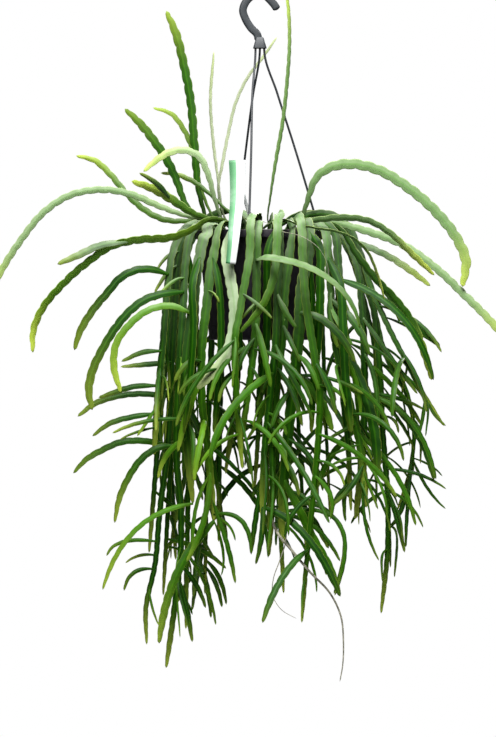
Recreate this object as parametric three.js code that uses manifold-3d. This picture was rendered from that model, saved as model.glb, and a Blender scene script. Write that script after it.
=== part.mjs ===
// Lepismium bolivianum in a hanging pot. Millimetres, +Z up, front towards -Y.
// The origin is the inside top of the hook, where a rail carries it.
import * as THREE from 'three';
import { mergeVertices } from 'three/addons/utils/BufferGeometryUtils.js';
import Module from 'manifold-3d';

const wasm = await Module();
wasm.setup();

// Pot and soil
const RIM_TOP = -269;
const RIM_RADIUS = 75;
const POT_HEIGHT = 125;
const BASE_RADIUS = 58;
const POT_WALL = 1.4;
const SKIRT_HEIGHT = 9;
const SKIRT_REACH = 4.9;
const POT_SIDES = 36;
const DRAIN_HOLES = 6;
const DRAIN_RADIUS = 5;
const DRAIN_CIRCLE = 36;
const CLEARANCE = 0.38;
const SOIL_TOP = -281;
const SOIL_EDGE_DROP = 2;
const ROOT_DEPTH = 19;
const COLLAR_LOW = SOIL_TOP + 2;
const COLLAR_HIGH = SOIL_TOP + 8;
const HOLE_DEPTH = ROOT_DEPTH + CLEARANCE;

// Hanger
const HOOK_BAR_WIDTH = 9;
const HOOK_BAR_DEPTH = 5.4;
const BLOCK_TOP = -46;
const BLOCK_BASE = -59;
const BLOCK_BASE_WIDTH = 16;
const BLOCK_BASE_DEPTH = 11;
const STRAND_RADIUS = 1.3;
const STRAND_SIDES = 6;
const STRAND_RING_STEP = 34;
const SOCKET_DEPTH = 7;
const FOOT_LENGTH = 6;
const FOOT_WIDTH = 5;
const FOOT_HEIGHT = 1.8;
const PRONG_LENGTH = 7;
const PRONG_THICKNESS = 1.2;
const PRONG_SETBACK = 1.3;

// Label
const LABEL_WIDTH_TOP = 19;
const LABEL_WIDTH_BOTTOM = 11;
const LABEL_THICKNESS = 0.9;
const LABEL_LEG_WIDTH = 4;
const LABEL_REACH = 6;
const LABEL_LEG_ROOT = [-8, -52];

// Stems
const STEM_THICKNESS = 2.8;
const ROOT_NARROWING = 0.5;
const ROOT_TAPER = 45;
const SLENDER_TAPER = 110;
const NARROWING = 0.42;
const NARROWING_POWER = 1.5;
const FACING_START = 60;
const FACING_TAPER = 50;
const SHOOT_TAPER = 20;
const TIP_TAPER = 30;
const TIP_WIDTH_SHARE = 0.28;
const NOTCH_SHARE = 0.78;
const SAMPLE_STEP = 8;
const STEM_RING_STEP = 32;
const SHOOT_RING_STEP = 34;
const RING_BEND = 0.75;
const STEM_GAP = 1.8;
const RELAX_ROUNDS = 70;
const RELAX_SHARE = 0.5;
const HELD_SAMPLES = 4;
const SHOOT_MIN_LENGTH = 42;
const SHOOT_DEPTH_SHARE = 0.6;
const TIE_MARGIN = 0.5;
const CURL_PIECES = 16;
const LEANS = [0, -10, 10, -20, 20, -32, 32, -45, 45];
const SPREAD_LEFT = 128;
const SPREAD_RIGHT = 214;
const SPREAD_LEVEL = -560;
const SPREAD_SLOPE_LEFT = 0.15;
const SPREAD_SLOPE_RIGHT = 0.5;
const SPREAD_BOTTOM_LEFT = -772;
const SPREAD_BOTTOM_RIGHT = -714;
const SPREAD_GAP_TOP = -585;
const WIDEST_REACH = 22;
const SEED = 4711;

const COLOURS = {
  stem: 0x56802f,
  pale: 0x7f9c62,
  pot: 0x17151b,
  soil: 0x2c2119,
  hanger: 0x3b4146,
  label: 0xe9f0ea,
};

// Stems by group: width in mm, root on the soil, then the line it grows along
const STEMS = {
  upright: [
    { width: 9.5, root: [-45, 10],
      route: [[-58, 13, -260], [-69, 15, -228], [-75, 16, -175], [-80, 18, -117], [-88, 19, -75],
        [-97, 20, -40], [-108, 22, -14]] },
    { width: 6, root: [-37, 27],
      route: [[-52, 32, -255], [-69, 38, -216], [-79, 44, -170], [-88, 47, -150], [-103, 49, -131],
        [-124, 52, -124]] },
    { width: 9.5, root: [-45, -10],
      route: [[-62, -11, -262], [-84, -10, -240], [-96, -9, -210], [-107, -9, -187], [-122, -10, -165],
        [-140, -10, -143], [-155, -11, -129]] },
    { width: 3.5, root: [-29, 9],
      route: [[-38, 12, -262], [-44, 14, -238], [-49, 16, -203], [-54, 18, -163], [-57, 18, -120],
        [-53, 18, -61]] },
    { width: 3.8, root: [-18, 24],
      route: [[-38, 30, -256], [-48, 34, -222], [-43, 38, -188], [-36, 41, -152], [-28, 43, -119],
        [-14, 45, -89], [4, 47, -65], [20, 49, -42]] },
    { width: 4.5, root: [12, 0],
      route: [[9, -4, -256], [12, -7, -230], [18, -9, -190], [26, -11, -145], [31, -12, -100],
        [34, -13, -48], [32, -13, -8], [29, -13, 12]] },
  ],
  arch_left: [
    { width: 8, root: [-29, -9],
      route: [[-42, -13, -258], [-52, -16, -232], [-60, -19, -203], [-70, -21, -184], [-86, -24, -177],
        [-104, -27, -180], [-120, -30, -190], [-133, -33, -202]] },
    { width: 7.5, root: [-37, -27],
      route: [[-52, -29, -259], [-82, -30, -253], [-116, -32, -241], [-144, -36, -229], [-180, -42, -223],
        [-215, -47, -229], [-246, -52, -249], [-272, -55, -281], [-296, -58, -319], [-311, -60, -350]] },
    { width: 7, root: [-23, 40],
      route: [[-46, 41, -254], [-80, 38, -256], [-112, 36, -254], [-139, 36, -239], [-158, 38, -220],
        [-174, 40, -201], [-191, 42, -186], [-213, 44, -180]] },
    { width: 10, root: [-18, -24],
      route: [[-34, -34, -262], [-56, -40, -258], [-78, -44, -249], [-98, -49, -236], [-120, -54, -223],
        [-146, -58, -214]] },
    { width: 6, root: [-12, 0],
      route: [[-22, 1, -260], [-40, 2, -243], [-60, 3, -224], [-78, 3, -211], [-95, 2, -204],
        [-114, 0, -202]] },
    { width: 10.5, root: [-23, -40],
      route: [[-40, -52, -260], [-66, -62, -265], [-100, -67, -278], [-138, -70, -281], [-168, -72, -288],
        [-196, -74, -307], [-225, -76, -333], [-247, -78, -360], [-257, -79, -386], [-257, -80, -409]] },
  ],
  arch_right: [
    { width: 11, root: [42, -19],
      route: [[48, -20, -256], [56, -22, -230], [65, -24, -208], [80, -26, -197], [104, -28, -193],
        [133, -29, -199], [169, -31, -220], [204, -33, -251], [224, -34, -277], [235, -35, -303],
        [231, -36, -334]] },
    { width: 8, root: [0, -12],
      route: [[10, -26, -263], [34, -40, -261], [62, -48, -258], [96, -53, -255], [124, -56, -259],
        [148, -59, -273], [172, -62, -296], [198, -64, -321]] },
    { width: 8.5, root: [29, -9],
      route: [[40, -5, -260], [60, -3, -256], [88, -5, -260], [125, -12, -270], [165, -20, -286],
        [200, -27, -311], [235, -33, -344], [267, -38, -377], [288, -40, -402]] },
    { width: 8, root: [14, -44],
      route: [[20, -58, -260], [38, -76, -261], [62, -86, -268], [86, -87, -272], [106, -84, -280],
        [121, -81, -294], [132, -79, -318], [141, -77, -349]] },
    { width: 9, root: [42, 19],
      route: [[58, 29, -260], [80, 37, -264], [102, 40, -278], [126, 42, -286], [148, 44, -296],
        [172, 45, -311], [198, 46, -331]] },
    { width: 9.5, root: [46, 0],
      route: [[64, -8, -259], [88, -18, -264], [112, -26, -298], [133, -31, -325], [154, -34, -347],
        [174, -36, -374], [188, -38, -410], [196, -39, -440]] },
  ],
  trail_left: [
    { width: 9.5, root: [-60, -16], shoots: 1,
      route: [[-72, -19, -260], [-87, -24, -268], [-99, -28, -292], [-105, -31, -328], [-111, -34, -400],
        [-117, -35, -460], [-121, -36, -526]] },
    { width: 9, root: [-62, 0], shoots: 2,
      route: [[-75, 0, -259], [-87, 0, -270], [-94, 1, -300], [-97, 2, -350], [-102, 2, -430],
        [-106, 1, -520], [-115, 0, -590], [-121, -1, -655], [-131, -2, -702], [-130, -3, -744]] },
    { width: 9, root: [-54, -31], shoots: 2,
      route: [[-65, -37, -260], [-77, -45, -270], [-84, -50, -300], [-87, -52, -350], [-93, -52, -450],
        [-95, -50, -530], [-90, -48, -590], [-91, -48, -645], [-98, -48, -704], [-107, -48, -768]] },
    { width: 13, root: [-44, -44], shoots: 1,
      route: [[-52, -53, -260], [-61, -64, -271], [-69, -72, -303], [-76, -76, -355], [-83, -76, -410],
        [-86, -75, -460], [-82, -72, -520], [-76, -70, -580]] },
    { width: 12, root: [-31, -54], shoots: 1,
      route: [[-37, -64, -260], [-45, -76, -271], [-53, -83, -300], [-60, -86, -352], [-66, -84, -405],
        [-66, -80, -460], [-58, -76, -530], [-52, -74, -600]] },
  ],
  trail_front: [
    { width: 14, root: [-16, -60],
      route: [[-24, -71, -256], [-33, -83, -265], [-38, -90, -298], [-33, -97, -328], [-29, -101, -358],
        [-33, -103, -396], [-44, -104, -421], [-58, -105, -437], [-71, -106, -450]] },
    { width: 10.5, root: [0, -62], shoots: 1,
      route: [[-1, -73, -259], [-3, -84, -270], [-4, -90, -300], [-4, -92, -340], [-6, -90, -395],
        [-13, -86, -450], [-23, -82, -520]] },
    { width: 10.5, root: [16, -60], shoots: 1,
      route: [[18, -71, -259], [21, -82, -270], [22, -88, -300], [20, -90, -345], [17, -90, -405],
        [11, -87, -460], [4, -84, -530], [2, -82, -600]] },
    { width: 11, root: [31, -54], shoots: 1,
      route: [[34, -64, -258], [36, -76, -268], [33, -83, -300], [27, -84, -338], [26, -82, -385],
        [20, -78, -430], [14, -74, -500], [14, -72, -570], [10, -70, -640]] },
    { width: 13.5, root: [44, -44], shoots: 2,
      route: [[51, -53, -259], [56, -64, -270], [54, -73, -300], [47, -80, -335], [44, -83, -385],
        [38, -82, -440], [32, -80, -500], [27, -78, -560], [26, -76, -625]] },
  ],
  trail_right: [
    { width: 10.5, root: [54, -31], shoots: 1,
      route: [[63, -36, -259], [73, -44, -268], [77, -52, -300], [81, -56, -345], [85, -58, -395],
        [95, -58, -440], [106, -58, -480], [116, -57, -530], [121, -56, -585]] },
    { width: 10, root: [60, -16], shoots: 1,
      route: [[71, -20, -259], [84, -25, -269], [89, -28, -300], [90, -30, -375], [94, -31, -450],
        [101, -32, -520], [104, -33, -590]] },
    { width: 11, root: [62, 0], shoots: 2,
      route: [[75, 1, -258], [93, 2, -265], [109, 3, -295], [117, 4, -350], [120, 4, -410],
        [120, 4, -480], [117, 3, -540], [110, 2, -600]] },
    { width: 9, root: [60, 16], shoots: 1,
      route: [[73, 13, -258], [94, 18, -266], [113, 24, -295], [129, 27, -345], [138, 27, -420],
        [142, 26, -500], [148, 25, -580], [147, 24, -645], [140, 24, -710]] },
    { width: 9, root: [54, 31], shoots: 2,
      route: [[66, 40, -258], [85, 48, -265], [107, 54, -296], [130, 56, -350], [148, 56, -415],
        [167, 56, -447], [179, 56, -492], [175, 56, -543], [160, 56, -592]] },
  ],
  trail_back: [
    { width: 9, root: [44, 44], shoots: 2,
      route: [[52, 52, -258], [62, 62, -267], [69, 69, -300], [73, 71, -370], [76, 71, -460],
        [82, 71, -600]] },
    { width: 10, root: [31, 54], shoots: 2,
      route: [[36, 64, -258], [42, 76, -267], [46, 83, -300], [47, 85, -370], [45, 85, -470],
        [54, 84, -640]] },
    { width: 9, root: [16, 60], shoots: 2,
      route: [[18, 71, -258], [21, 83, -267], [23, 89, -300], [24, 91, -380], [20, 90, -480],
        [28, 88, -690]] },
    { width: 9, root: [0, 62], shoots: 2,
      route: [[0, 73, -258], [0, 85, -267], [0, 92, -300], [2, 93, -380], [0, 92, -470], [-6, 90, -570]] },
    { width: 10, root: [-16, 60], shoots: 2,
      route: [[-18, 73, -257], [-20, 85, -266], [-23, 91, -300], [-24, 92, -380], [-28, 90, -460],
        [-40, 88, -550]] },
    { width: 9, root: [-31, 54], shoots: 2,
      route: [[-40, 62, -258], [-49, 72, -267], [-54, 78, -300], [-56, 80, -390], [-60, 78, -490],
        [-64, 74, -690]] },
    { width: 10, root: [-44, 44], shoots: 3,
      route: [[-53, 52, -258], [-64, 61, -267], [-71, 66, -300], [-75, 67, -390], [-81, 64, -500],
        [-86, 58, -730]] },
    { width: 9, root: [-54, 31], shoots: 2,
      route: [[-66, 38, -258], [-79, 45, -267], [-87, 49, -300], [-93, 50, -390], [-101, 46, -500],
        [-112, 40, -690]] },
    { width: 9, root: [-60, 16], shoots: 2,
      route: [[-73, 20, -258], [-86, 24, -267], [-96, 27, -300], [-105, 28, -380], [-113, 27, -460],
        [-128, 24, -640]] },
  ],
  outer: [
    { width: 10, root: [0, -30], shoots: 1,
      route: [[-2, -46, -256], [-6, -70, -252], [-10, -94, -258], [-12, -106, -300], [-20, -110, -346],
        [-28, -111, -400], [-26, -108, -465], [-20, -104, -540]] },
    { width: 11.5, root: [18, -24],
      route: [[20, -46, -257], [21, -72, -254], [20, -98, -262], [18, -110, -300], [13, -115, -332],
        [0, -115, -360], [-13, -113, -376], [-24, -111, -387]] },
    { width: 10.5, root: [31, -34], shoots: 2,
      route: [[37, -52, -258], [43, -74, -256], [47, -94, -270], [48, -101, -305], [52, -103, -355],
        [60, -102, -405], [67, -100, -450], [66, -98, -500], [60, -95, -570], [52, -92, -650],
        [47, -90, -714]] },
    { width: 9, root: [31, 34], shoots: 2,
      route: [[42, 50, -252], [58, 68, -250], [74, 84, -268], [86, 90, -310], [101, 91, -380],
        [113, 90, -460], [116, 87, -610]] },
    { width: 9, root: [14, 44], shoots: 2,
      route: [[14, 62, -252], [13, 88, -250], [12, 106, -272], [10, 111, -330], [8, 110, -430],
        [10, 106, -600]] },
    { width: 9, root: [-5, 46], shoots: 2,
      route: [[-10, 64, -252], [-18, 87, -250], [-29, 104, -272], [-37, 108, -330], [-45, 105, -430],
        [-48, 96, -630]] },
    { width: 9.5, root: [29, 9], shoots: 2,
      route: [[50, 5, -253], [76, 3, -250], [98, 4, -263], [114, 6, -294], [130, 8, -338], [149, 9, -381],
        [166, 9, -414], [183, 9, -447], [212, 9, -493]] },
    { width: 8.5, root: [18, 24], shoots: 3,
      route: [[38, 38, -252], [62, 52, -247], [86, 60, -259], [104, 64, -292], [121, 65, -345],
        [134, 64, -405], [140, 62, -470]] },
    { width: 9, root: [0, 30], shoots: 3,
      route: [[-14, 42, -250], [-38, 60, -243], [-66, 74, -256], [-88, 80, -300], [-99, 81, -370],
        [-105, 78, -460], [-98, 72, -650]] },
  ],
};

// Side shoots set by hand: the stem that bears each, its width, and its line from that stem
const SET_SHOOTS = [
  { parent: 'arch_left_4', width: 7, route: [[-100, -49, -235], [-112, -58, -222], [-124, -64, -212],
    [-137, -66, -205]] },
  { parent: 'arch_left_6', width: 9, route: [[-148, -71, -283], [-182, -80, -288], [-206, -84, -299],
    [-229, -86, -309]] },
  { parent: 'trail_left_1', width: 9, route: [[-104, -31, -318], [-122, -40, -314], [-142, -46, -315],
    [-158, -49, -323], [-174, -51, -341], [-192, -53, -363], [-206, -55, -388], [-211, -56, -406]] },
  { parent: 'trail_left_3', width: 9.5, route: [[-87, -51, -341], [-110, -62, -342], [-131, -66, -349],
    [-149, -69, -363], [-164, -71, -381], [-178, -73, -404], [-190, -75, -430], [-194, -76, -452],
    [-190, -77, -474]] },
  { parent: 'trail_left_4', width: 8, route: [[-77, -76, -362], [-102, -88, -356], [-128, -92, -362],
    [-148, -94, -378], [-162, -95, -398], [-165, -96, -424], [-157, -97, -454]] },
  { parent: 'trail_left_1', width: 7, route: [[-112, -34, -408], [-132, -38, -408], [-158, -42, -419]] },
  { parent: 'trail_left_2', width: 7, route: [[-101, 2, -418], [-128, -2, -422], [-160, -5, -425]] },
  { parent: 'trail_left_1', width: 7, route: [[-116, -35, -443], [-140, -40, -447], [-184, -44, -460]] },
  { parent: 'trail_left_2', width: 7.5, route: [[-104, 1, -461], [-135, -4, -456], [-165, -8, -459],
    [-189, -10, -467], [-209, -12, -482]] },
  { parent: 'trail_left_1', width: 7, route: [[-119, -35, -481], [-145, -39, -482], [-172, -42, -490],
    [-191, -43, -504]] },
  { parent: 'trail_left_2', width: 8, route: [[-106, 1, -516], [-134, -6, -510], [-158, -10, -511],
    [-182, -12, -521], [-199, -13, -531], [-214, -14, -547]] },
  { parent: 'trail_left_3', width: 8, route: [[-95, -50, -514], [-116, -58, -517], [-134, -62, -529],
    [-149, -64, -550], [-160, -65, -575], [-165, -66, -602]] },
  { parent: 'trail_front_2', width: 10, route: [[-4, -90, -304], [8, -118, -302], [20, -128, -304],
    [42, -130, -309], [64, -128, -318], [83, -126, -331], [98, -124, -347], [108, -122, -366],
    [112, -122, -382]] },
  { parent: 'trail_right_1', width: 8.5, route: [[81, -56, -351], [100, -68, -366], [114, -74, -386],
    [124, -77, -412]] },
  { parent: 'outer_7', width: 8, route: [[130, 8, -338], [154, 3, -358], [186, -2, -382], [207, -4, -402]] },
  { parent: 'trail_front_5', width: 8.5, route: [[45, -82, -362], [66, -92, -369], [84, -95, -383],
    [98, -97, -401], [107, -98, -420]] },
  { parent: 'trail_right_4', width: 8.5, route: [[140, 27, -456], [160, 20, -474], [177, 16, -495],
    [191, 14, -520], [201, 13, -555]] },
  { parent: 'trail_front_5', width: 9, route: [[28, -79, -556], [46, -88, -590], [62, -91, -622],
    [78, -92, -650], [91, -93, -684]] },
  { parent: 'trail_front_3', width: 9.5, route: [[20, -80, -270], [10, -97, -290], [8, -103, -330],
    [8, -103, -380], [4, -99, -430], [-4, -95, -480]] },
  { parent: 'trail_front_5', width: 10.5, route: [[56, -64, -270], [67, -80, -290], [68, -88, -330],
    [66, -90, -390], [60, -90, -450], [58, -88, -500]] },
  { parent: 'trail_left_4', width: 9.5, route: [[-69, -72, -303], [-76, -90, -330], [-75, -97, -380],
    [-79, -99, -440], [-86, -99, -500]] },
  { parent: 'trail_right_1', width: 10, route: [[77, -52, -300], [90, -68, -330], [94, -76, -380],
    [97, -78, -440], [103, -80, -500]] },
  { parent: 'trail_front_4', width: 5.5, route: [[14, -73, -588], [40, -62, -580], [68, -58, -584],
    [88, -57, -602], [97, -57, -630], [91, -57, -658], [84, -57, -683]] },
  { parent: 'trail_left_5', width: 8, route: [[-53, -83, -300], [-47, -92, -330], [-44, -93, -380],
    [-47, -90, -440], [-52, -86, -500]] },
];

// Curling side shoots as seen from the front: the stem that bears each, its width, the height where it
// leaves, then the corner that it bends round and its end, both [x, z], and how far it moves in depth
const CURLS = [
  { parent: 'trail_left_4', width: 6.5, leaves: -580, corner: [-154, -590], end: [-178, -677], depth: -14 },
  { parent: 'trail_left_2', width: 5, leaves: -622, corner: [-168, -618], end: [-176, -642], depth: -10 },
  { parent: 'trail_left_2', width: 5.5, leaves: -654, corner: [-151, -653], end: [-156, -682], depth: -8 },
  { parent: 'trail_left_5', width: 9.5, leaves: -600, corner: [-105, -649], end: [-114, -737], depth: -22 },
  { parent: 'trail_left_5', width: 6.5, leaves: -543, corner: [-56, -597], end: [-83, -645], depth: -16 },
  { parent: 'trail_left_3', width: 6.5, leaves: -666, corner: [-83, -695], end: [-77, -738], depth: -6 },
  { parent: 'trail_left_3', width: 6, leaves: -649, corner: [-69, -672], end: [-62, -700], depth: 8 },
  { parent: 'trail_back_6', width: 6, leaves: -658, corner: [-48, -675], end: [-44, -705], depth: -12 },
  { parent: 'trail_back_6', width: 6, leaves: -650, corner: [-43, -668], end: [-39, -703], depth: 10 },
  { parent: 'trail_left_5', width: 5.5, leaves: -578, corner: [-33, -631], end: [-28, -670], depth: -6 },
  { parent: 'trail_left_5', width: 5.5, leaves: -590, corner: [-10, -584], end: [-10, -637], depth: -16 },
  { parent: 'trail_front_3', width: 6.5, leaves: -554, corner: [-6, -597], end: [-10, -636], depth: 6 },
  { parent: 'trail_front_3', width: 6.5, leaves: -580, corner: [5, -614], end: [-5, -648], depth: -8 },
  { parent: 'trail_front_3', width: 8, leaves: -581, corner: [55, -595], end: [90, -683], depth: -14 },
  { parent: 'trail_front_4', width: 4.5, leaves: -592, corner: [128, -563], end: [84, -683], depth: -26 },
  { parent: 'trail_front_4', width: 5.5, leaves: -596, corner: [64, -589], end: [91, -646], depth: -8 },
  { parent: 'outer_3', width: 6, leaves: -545, corner: [89, -570], end: [79, -597], depth: -6 },
  { parent: 'trail_right_2', width: 6, leaves: -554, corner: [85, -572], end: [78, -597], depth: -10 },
  { parent: 'trail_right_2', width: 5.5, leaves: -545, corner: [93, -574], end: [98, -602], depth: 4 },
  { parent: 'trail_right_4', width: 5, leaves: -565, corner: [118, -580], end: [105, -606], depth: -12 },
  { parent: 'trail_right_1', width: 4, leaves: -557, corner: [112, -603], end: [135, -645], depth: -8 },
  { parent: 'trail_right_4', width: 6, leaves: -568, corner: [159, -597], end: [167, -639], depth: -10 },
  { parent: 'trail_right_5', width: 6, leaves: -554, corner: [168, -597], end: [149, -613], depth: -12 },
  { parent: 'trail_right_4', width: 4, leaves: -564, corner: [178, -580], end: [189, -611], depth: 6 },
  { parent: 'trail_right_5', width: 4, leaves: -528, corner: [192, -570], end: [216, -590], depth: -6 },
  { parent: 'trail_right_4', width: 4.5, leaves: -547, corner: [185, -543], end: [215, -566], depth: -10 },
  { parent: 'trail_left_4', width: 5, leaves: -483, corner: [-131, -481], end: [-167, -500], depth: -10 },
  { parent: 'trail_left_5', width: 8.5, leaves: -436, corner: [-86, -482], end: [-93, -521], depth: -16 },
  { parent: 'trail_left_5', width: 7, leaves: -375, corner: [-72, -390], end: [-80, -416], depth: -14 },
  { parent: 'trail_left_5', width: 7, leaves: -415, corner: [-83, -413], end: [-97, -442], depth: -12 },
  { parent: 'trail_front_1', width: 6, leaves: -430, corner: [-79, -432], end: [-92, -457], depth: -12 },
  { parent: 'trail_front_3', width: 8, leaves: -432, corner: [-48, -470], end: [-56, -529], depth: -24 },
  { parent: 'trail_front_4', width: 7, leaves: -370, corner: [29, -442], end: [-15, -508], depth: -18 },
  { parent: 'trail_front_2', width: 7, leaves: -378, corner: [4, -404], end: [12, -448], depth: -22 },
  { parent: 'trail_front_3', width: 7, leaves: -340, corner: [25, -359], end: [41, -382], depth: -12 },
  { parent: 'trail_front_4', width: 6, leaves: -375, corner: [33, -393], end: [45, -420], depth: -10 },
  { parent: 'trail_right_1', width: 7, leaves: -338, corner: [75, -370], end: [89, -404], depth: -12 },
  { parent: 'trail_right_2', width: 9, leaves: -321, corner: [176, -350], end: [197, -440], depth: -10 },
  { parent: 'trail_right_3', width: 6.5, leaves: -370, corner: [153, -419], end: [181, -456], depth: -12 },
  { parent: 'trail_right_3', width: 6, leaves: -458, corner: [185, -470], end: [202, -554], depth: -18 },
  { parent: 'trail_right_3', width: 5.5, leaves: -457, corner: [156, -455], end: [191, -475], depth: 6 },
  { parent: 'trail_right_2', width: 12, leaves: -401, corner: [137, -470], end: [133, -548], depth: -26 },
  { parent: 'trail_right_1', width: 6.5, leaves: -540, corner: [105, -565], end: [81, -582], depth: -16 },
];

// Repeatable chance: each call gives the next number from 0 to 1
let chanceState = SEED;
function chance() {
  chanceState = (chanceState * 16807) % 2147483647;
  return chanceState / 2147483647;
}

function between(low, high) {
  return low + (high - low) * chance();
}

function vector(point) {
  return new THREE.Vector3(point[0], point[1], point[2]);
}

function smoothStep(share) {
  const s = Math.min(1, Math.max(0, share));
  return s * s * (3 - 2 * s);
}

// Running length along a line, one value for each of its points
function runningLengths(line) {
  const lengths = [0];
  for (let k = 1; k < line.length; k += 1) {
    lengths.push(lengths[k - 1] + line[k].distanceTo(line[k - 1]));
  }
  return lengths;
}

// Points of a line at the given running lengths
function pointsAt(line, places) {
  const lengths = runningLengths(line);
  let k = 1;
  return places.map((place) => {
    while (k < line.length - 1 && lengths[k] < place) k += 1;
    const share = (place - lengths[k - 1]) / (lengths[k] - lengths[k - 1]);
    return line[k - 1].clone().lerp(line[k], Math.min(1, Math.max(0, share)));
  });
}

function evenPlaces(total, step) {
  const count = Math.max(2, Math.round(total / step));
  return Array.from({ length: count + 1 }, (unused, k) => (total * k) / count);
}

// Smooth line through points: cubic pieces whose slopes follow the spans on both sides
function smoothLine(points, step) {
  const spans = points.slice(1).map((p, k) => p.distanceTo(points[k]));
  const chords = spans.map((span, k) => points[k + 1].clone().sub(points[k]).divideScalar(span));
  const slopes = points.map((unused, k) => {
    if (k === 0) return chords[0].clone();
    if (k === points.length - 1) return chords[k - 1].clone();
    const before = chords[k - 1].clone().multiplyScalar(spans[k]);
    const after = chords[k].clone().multiplyScalar(spans[k - 1]);
    return before.add(after).divideScalar(spans[k - 1] + spans[k]);
  });
  const pieces = 12;
  const line = [points[0].clone()];
  for (let k = 0; k < spans.length; k += 1) {
    for (let i = 1; i <= pieces; i += 1) {
      const t = i / pieces;
      const point = points[k].clone().multiplyScalar(2 * t ** 3 - 3 * t ** 2 + 1);
      point.addScaledVector(points[k + 1], -2 * t ** 3 + 3 * t ** 2);
      point.addScaledVector(slopes[k], (t ** 3 - 2 * t ** 2 + t) * spans[k]);
      point.addScaledVector(slopes[k + 1], (t ** 3 - t ** 2) * spans[k]);
      line.push(point);
    }
  }
  const total = runningLengths(line).at(-1);
  return pointsAt(line, evenPlaces(total, step));
}

// Half the width at a place along a stem, or along a shoot, without the notches
function halfWidth(blade, place, total) {
  const grown = blade.rootTaper ? (place - ROOT_DEPTH) / blade.rootTaper : place / SHOOT_TAPER;
  const root = ROOT_NARROWING + (1 - ROOT_NARROWING) * smoothStep(grown);
  const toTip = Math.min(1, (total - place) / TIP_TAPER);
  const tip = TIP_WIDTH_SHARE + (1 - TIP_WIDTH_SHARE) * Math.sqrt(Math.max(0, toTip));
  const narrower = 1 - (blade.narrowing ?? 0) * (place / total) ** NARROWING_POWER;
  return 0.5 * blade.width * root * tip * narrower;
}

// Frames carried along a line without turning, drawn to the facing past the rim, then turned by the twist
function framesAlong(line, firstNormal, twist, facing) {
  const lengths = runningLengths(line);
  const total = lengths.at(-1);
  let normal = firstNormal.clone();
  return line.map((point, k) => {
    const before = line[Math.max(0, k - 1)];
    const after = line[Math.min(line.length - 1, k + 1)];
    const tangent = after.clone().sub(before).normalize();
    normal = normal.clone().addScaledVector(tangent, -normal.dot(tangent)).normalize();
    const drawn = normal.clone();
    if (facing) {
      const wanted = facing.clone().addScaledVector(tangent, -facing.dot(tangent)).normalize();
      drawn.lerp(wanted, smoothStep((lengths[k] - FACING_START) / FACING_TAPER)).normalize();
    }
    const turned = drawn.applyAxisAngle(tangent, twist * smoothStep((lengths[k] - 30) / total));
    return { point, tangent, normal: turned, across: turned.clone().cross(tangent) };
  });
}

function hangerLine(points) {
  return smoothLine(points.map(vector), SAMPLE_STEP);
}

// Hanger strands: socket in the block, a bend or two, foot on the rim
const STRANDS = [
  { name: 'strand_right', top: [5, 0], foot: 18, bends: [[20, 5, -110], [40, 11, -172]] },
  { name: 'strand_back', top: [0, 2.6], foot: 112.5, bends: [[-8, 17, -112], [-17, 42, -180]] },
  { name: 'strand_front', top: [-5, -1.5], foot: -100, bends: [[-8.5, -17, -110], [-10, -42, -180]] },
];
const FOOT_RADIUS = RIM_RADIUS - SKIRT_REACH / 2;
const STRAND_FOOT_TOP = RIM_TOP + CLEARANCE + FOOT_HEIGHT;

for (const strand of STRANDS) {
  const angle = THREE.MathUtils.degToRad(strand.foot);
  const footX = FOOT_RADIUS * Math.cos(angle);
  const footY = FOOT_RADIUS * Math.sin(angle);
  strand.line = hangerLine([
    [strand.top[0], strand.top[1], BLOCK_BASE + SOCKET_DEPTH - CLEARANCE],
    [strand.top[0], strand.top[1], BLOCK_BASE - 2],
    ...strand.bends,
    [footX, footY, STRAND_FOOT_TOP - 0.8],
  ]);
}

// The label's broad panel hangs over the rim in front; its leg goes back into the soil
const LABEL_PANEL = [[-26, -52, -190], [-25.5, -58, -212], [-26, -68, -236], [-28, -85, -257],
  [-30, -100, -281], [-33, -108, -309]];
const LABEL_FACING = new THREE.Vector3(0, -1, 0.2);
const LABEL_LEG = [[-20, -63.8, -226], [-14, -59, -246], [-9, -54, -266],
  [...LABEL_LEG_ROOT, COLLAR_HIGH], [...LABEL_LEG_ROOT, COLLAR_LOW],
  [...LABEL_LEG_ROOT, SOIL_TOP - ROOT_DEPTH]];

function potRadiusAt(z) {
  const share = (z - (RIM_TOP - POT_HEIGHT)) / POT_HEIGHT;
  return BASE_RADIUS + (RIM_RADIUS - SKIRT_REACH + POT_WALL - BASE_RADIUS) * share;
}

// Moves a point out of the pot's wall and rim, keeping the given distance
function clearOfPot(point, reach) {
  const radial = Math.hypot(point.x, point.y);
  const bottom = RIM_TOP - POT_HEIGHT;
  if (point.z > RIM_TOP + reach || point.z < bottom - reach || radial < BASE_RADIUS - 8) return;
  if (point.z > RIM_TOP) {
    if (radial < RIM_RADIUS + reach && radial > RIM_RADIUS - SKIRT_REACH - reach) point.z = RIM_TOP + reach;
    return;
  }
  const wall = point.z > RIM_TOP - SKIRT_HEIGHT - reach ? RIM_RADIUS : potRadiusAt(point.z);
  const wanted = wall + reach;
  if (radial < wanted) {
    point.x *= wanted / radial;
    point.y *= wanted / radial;
  }
}

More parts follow.
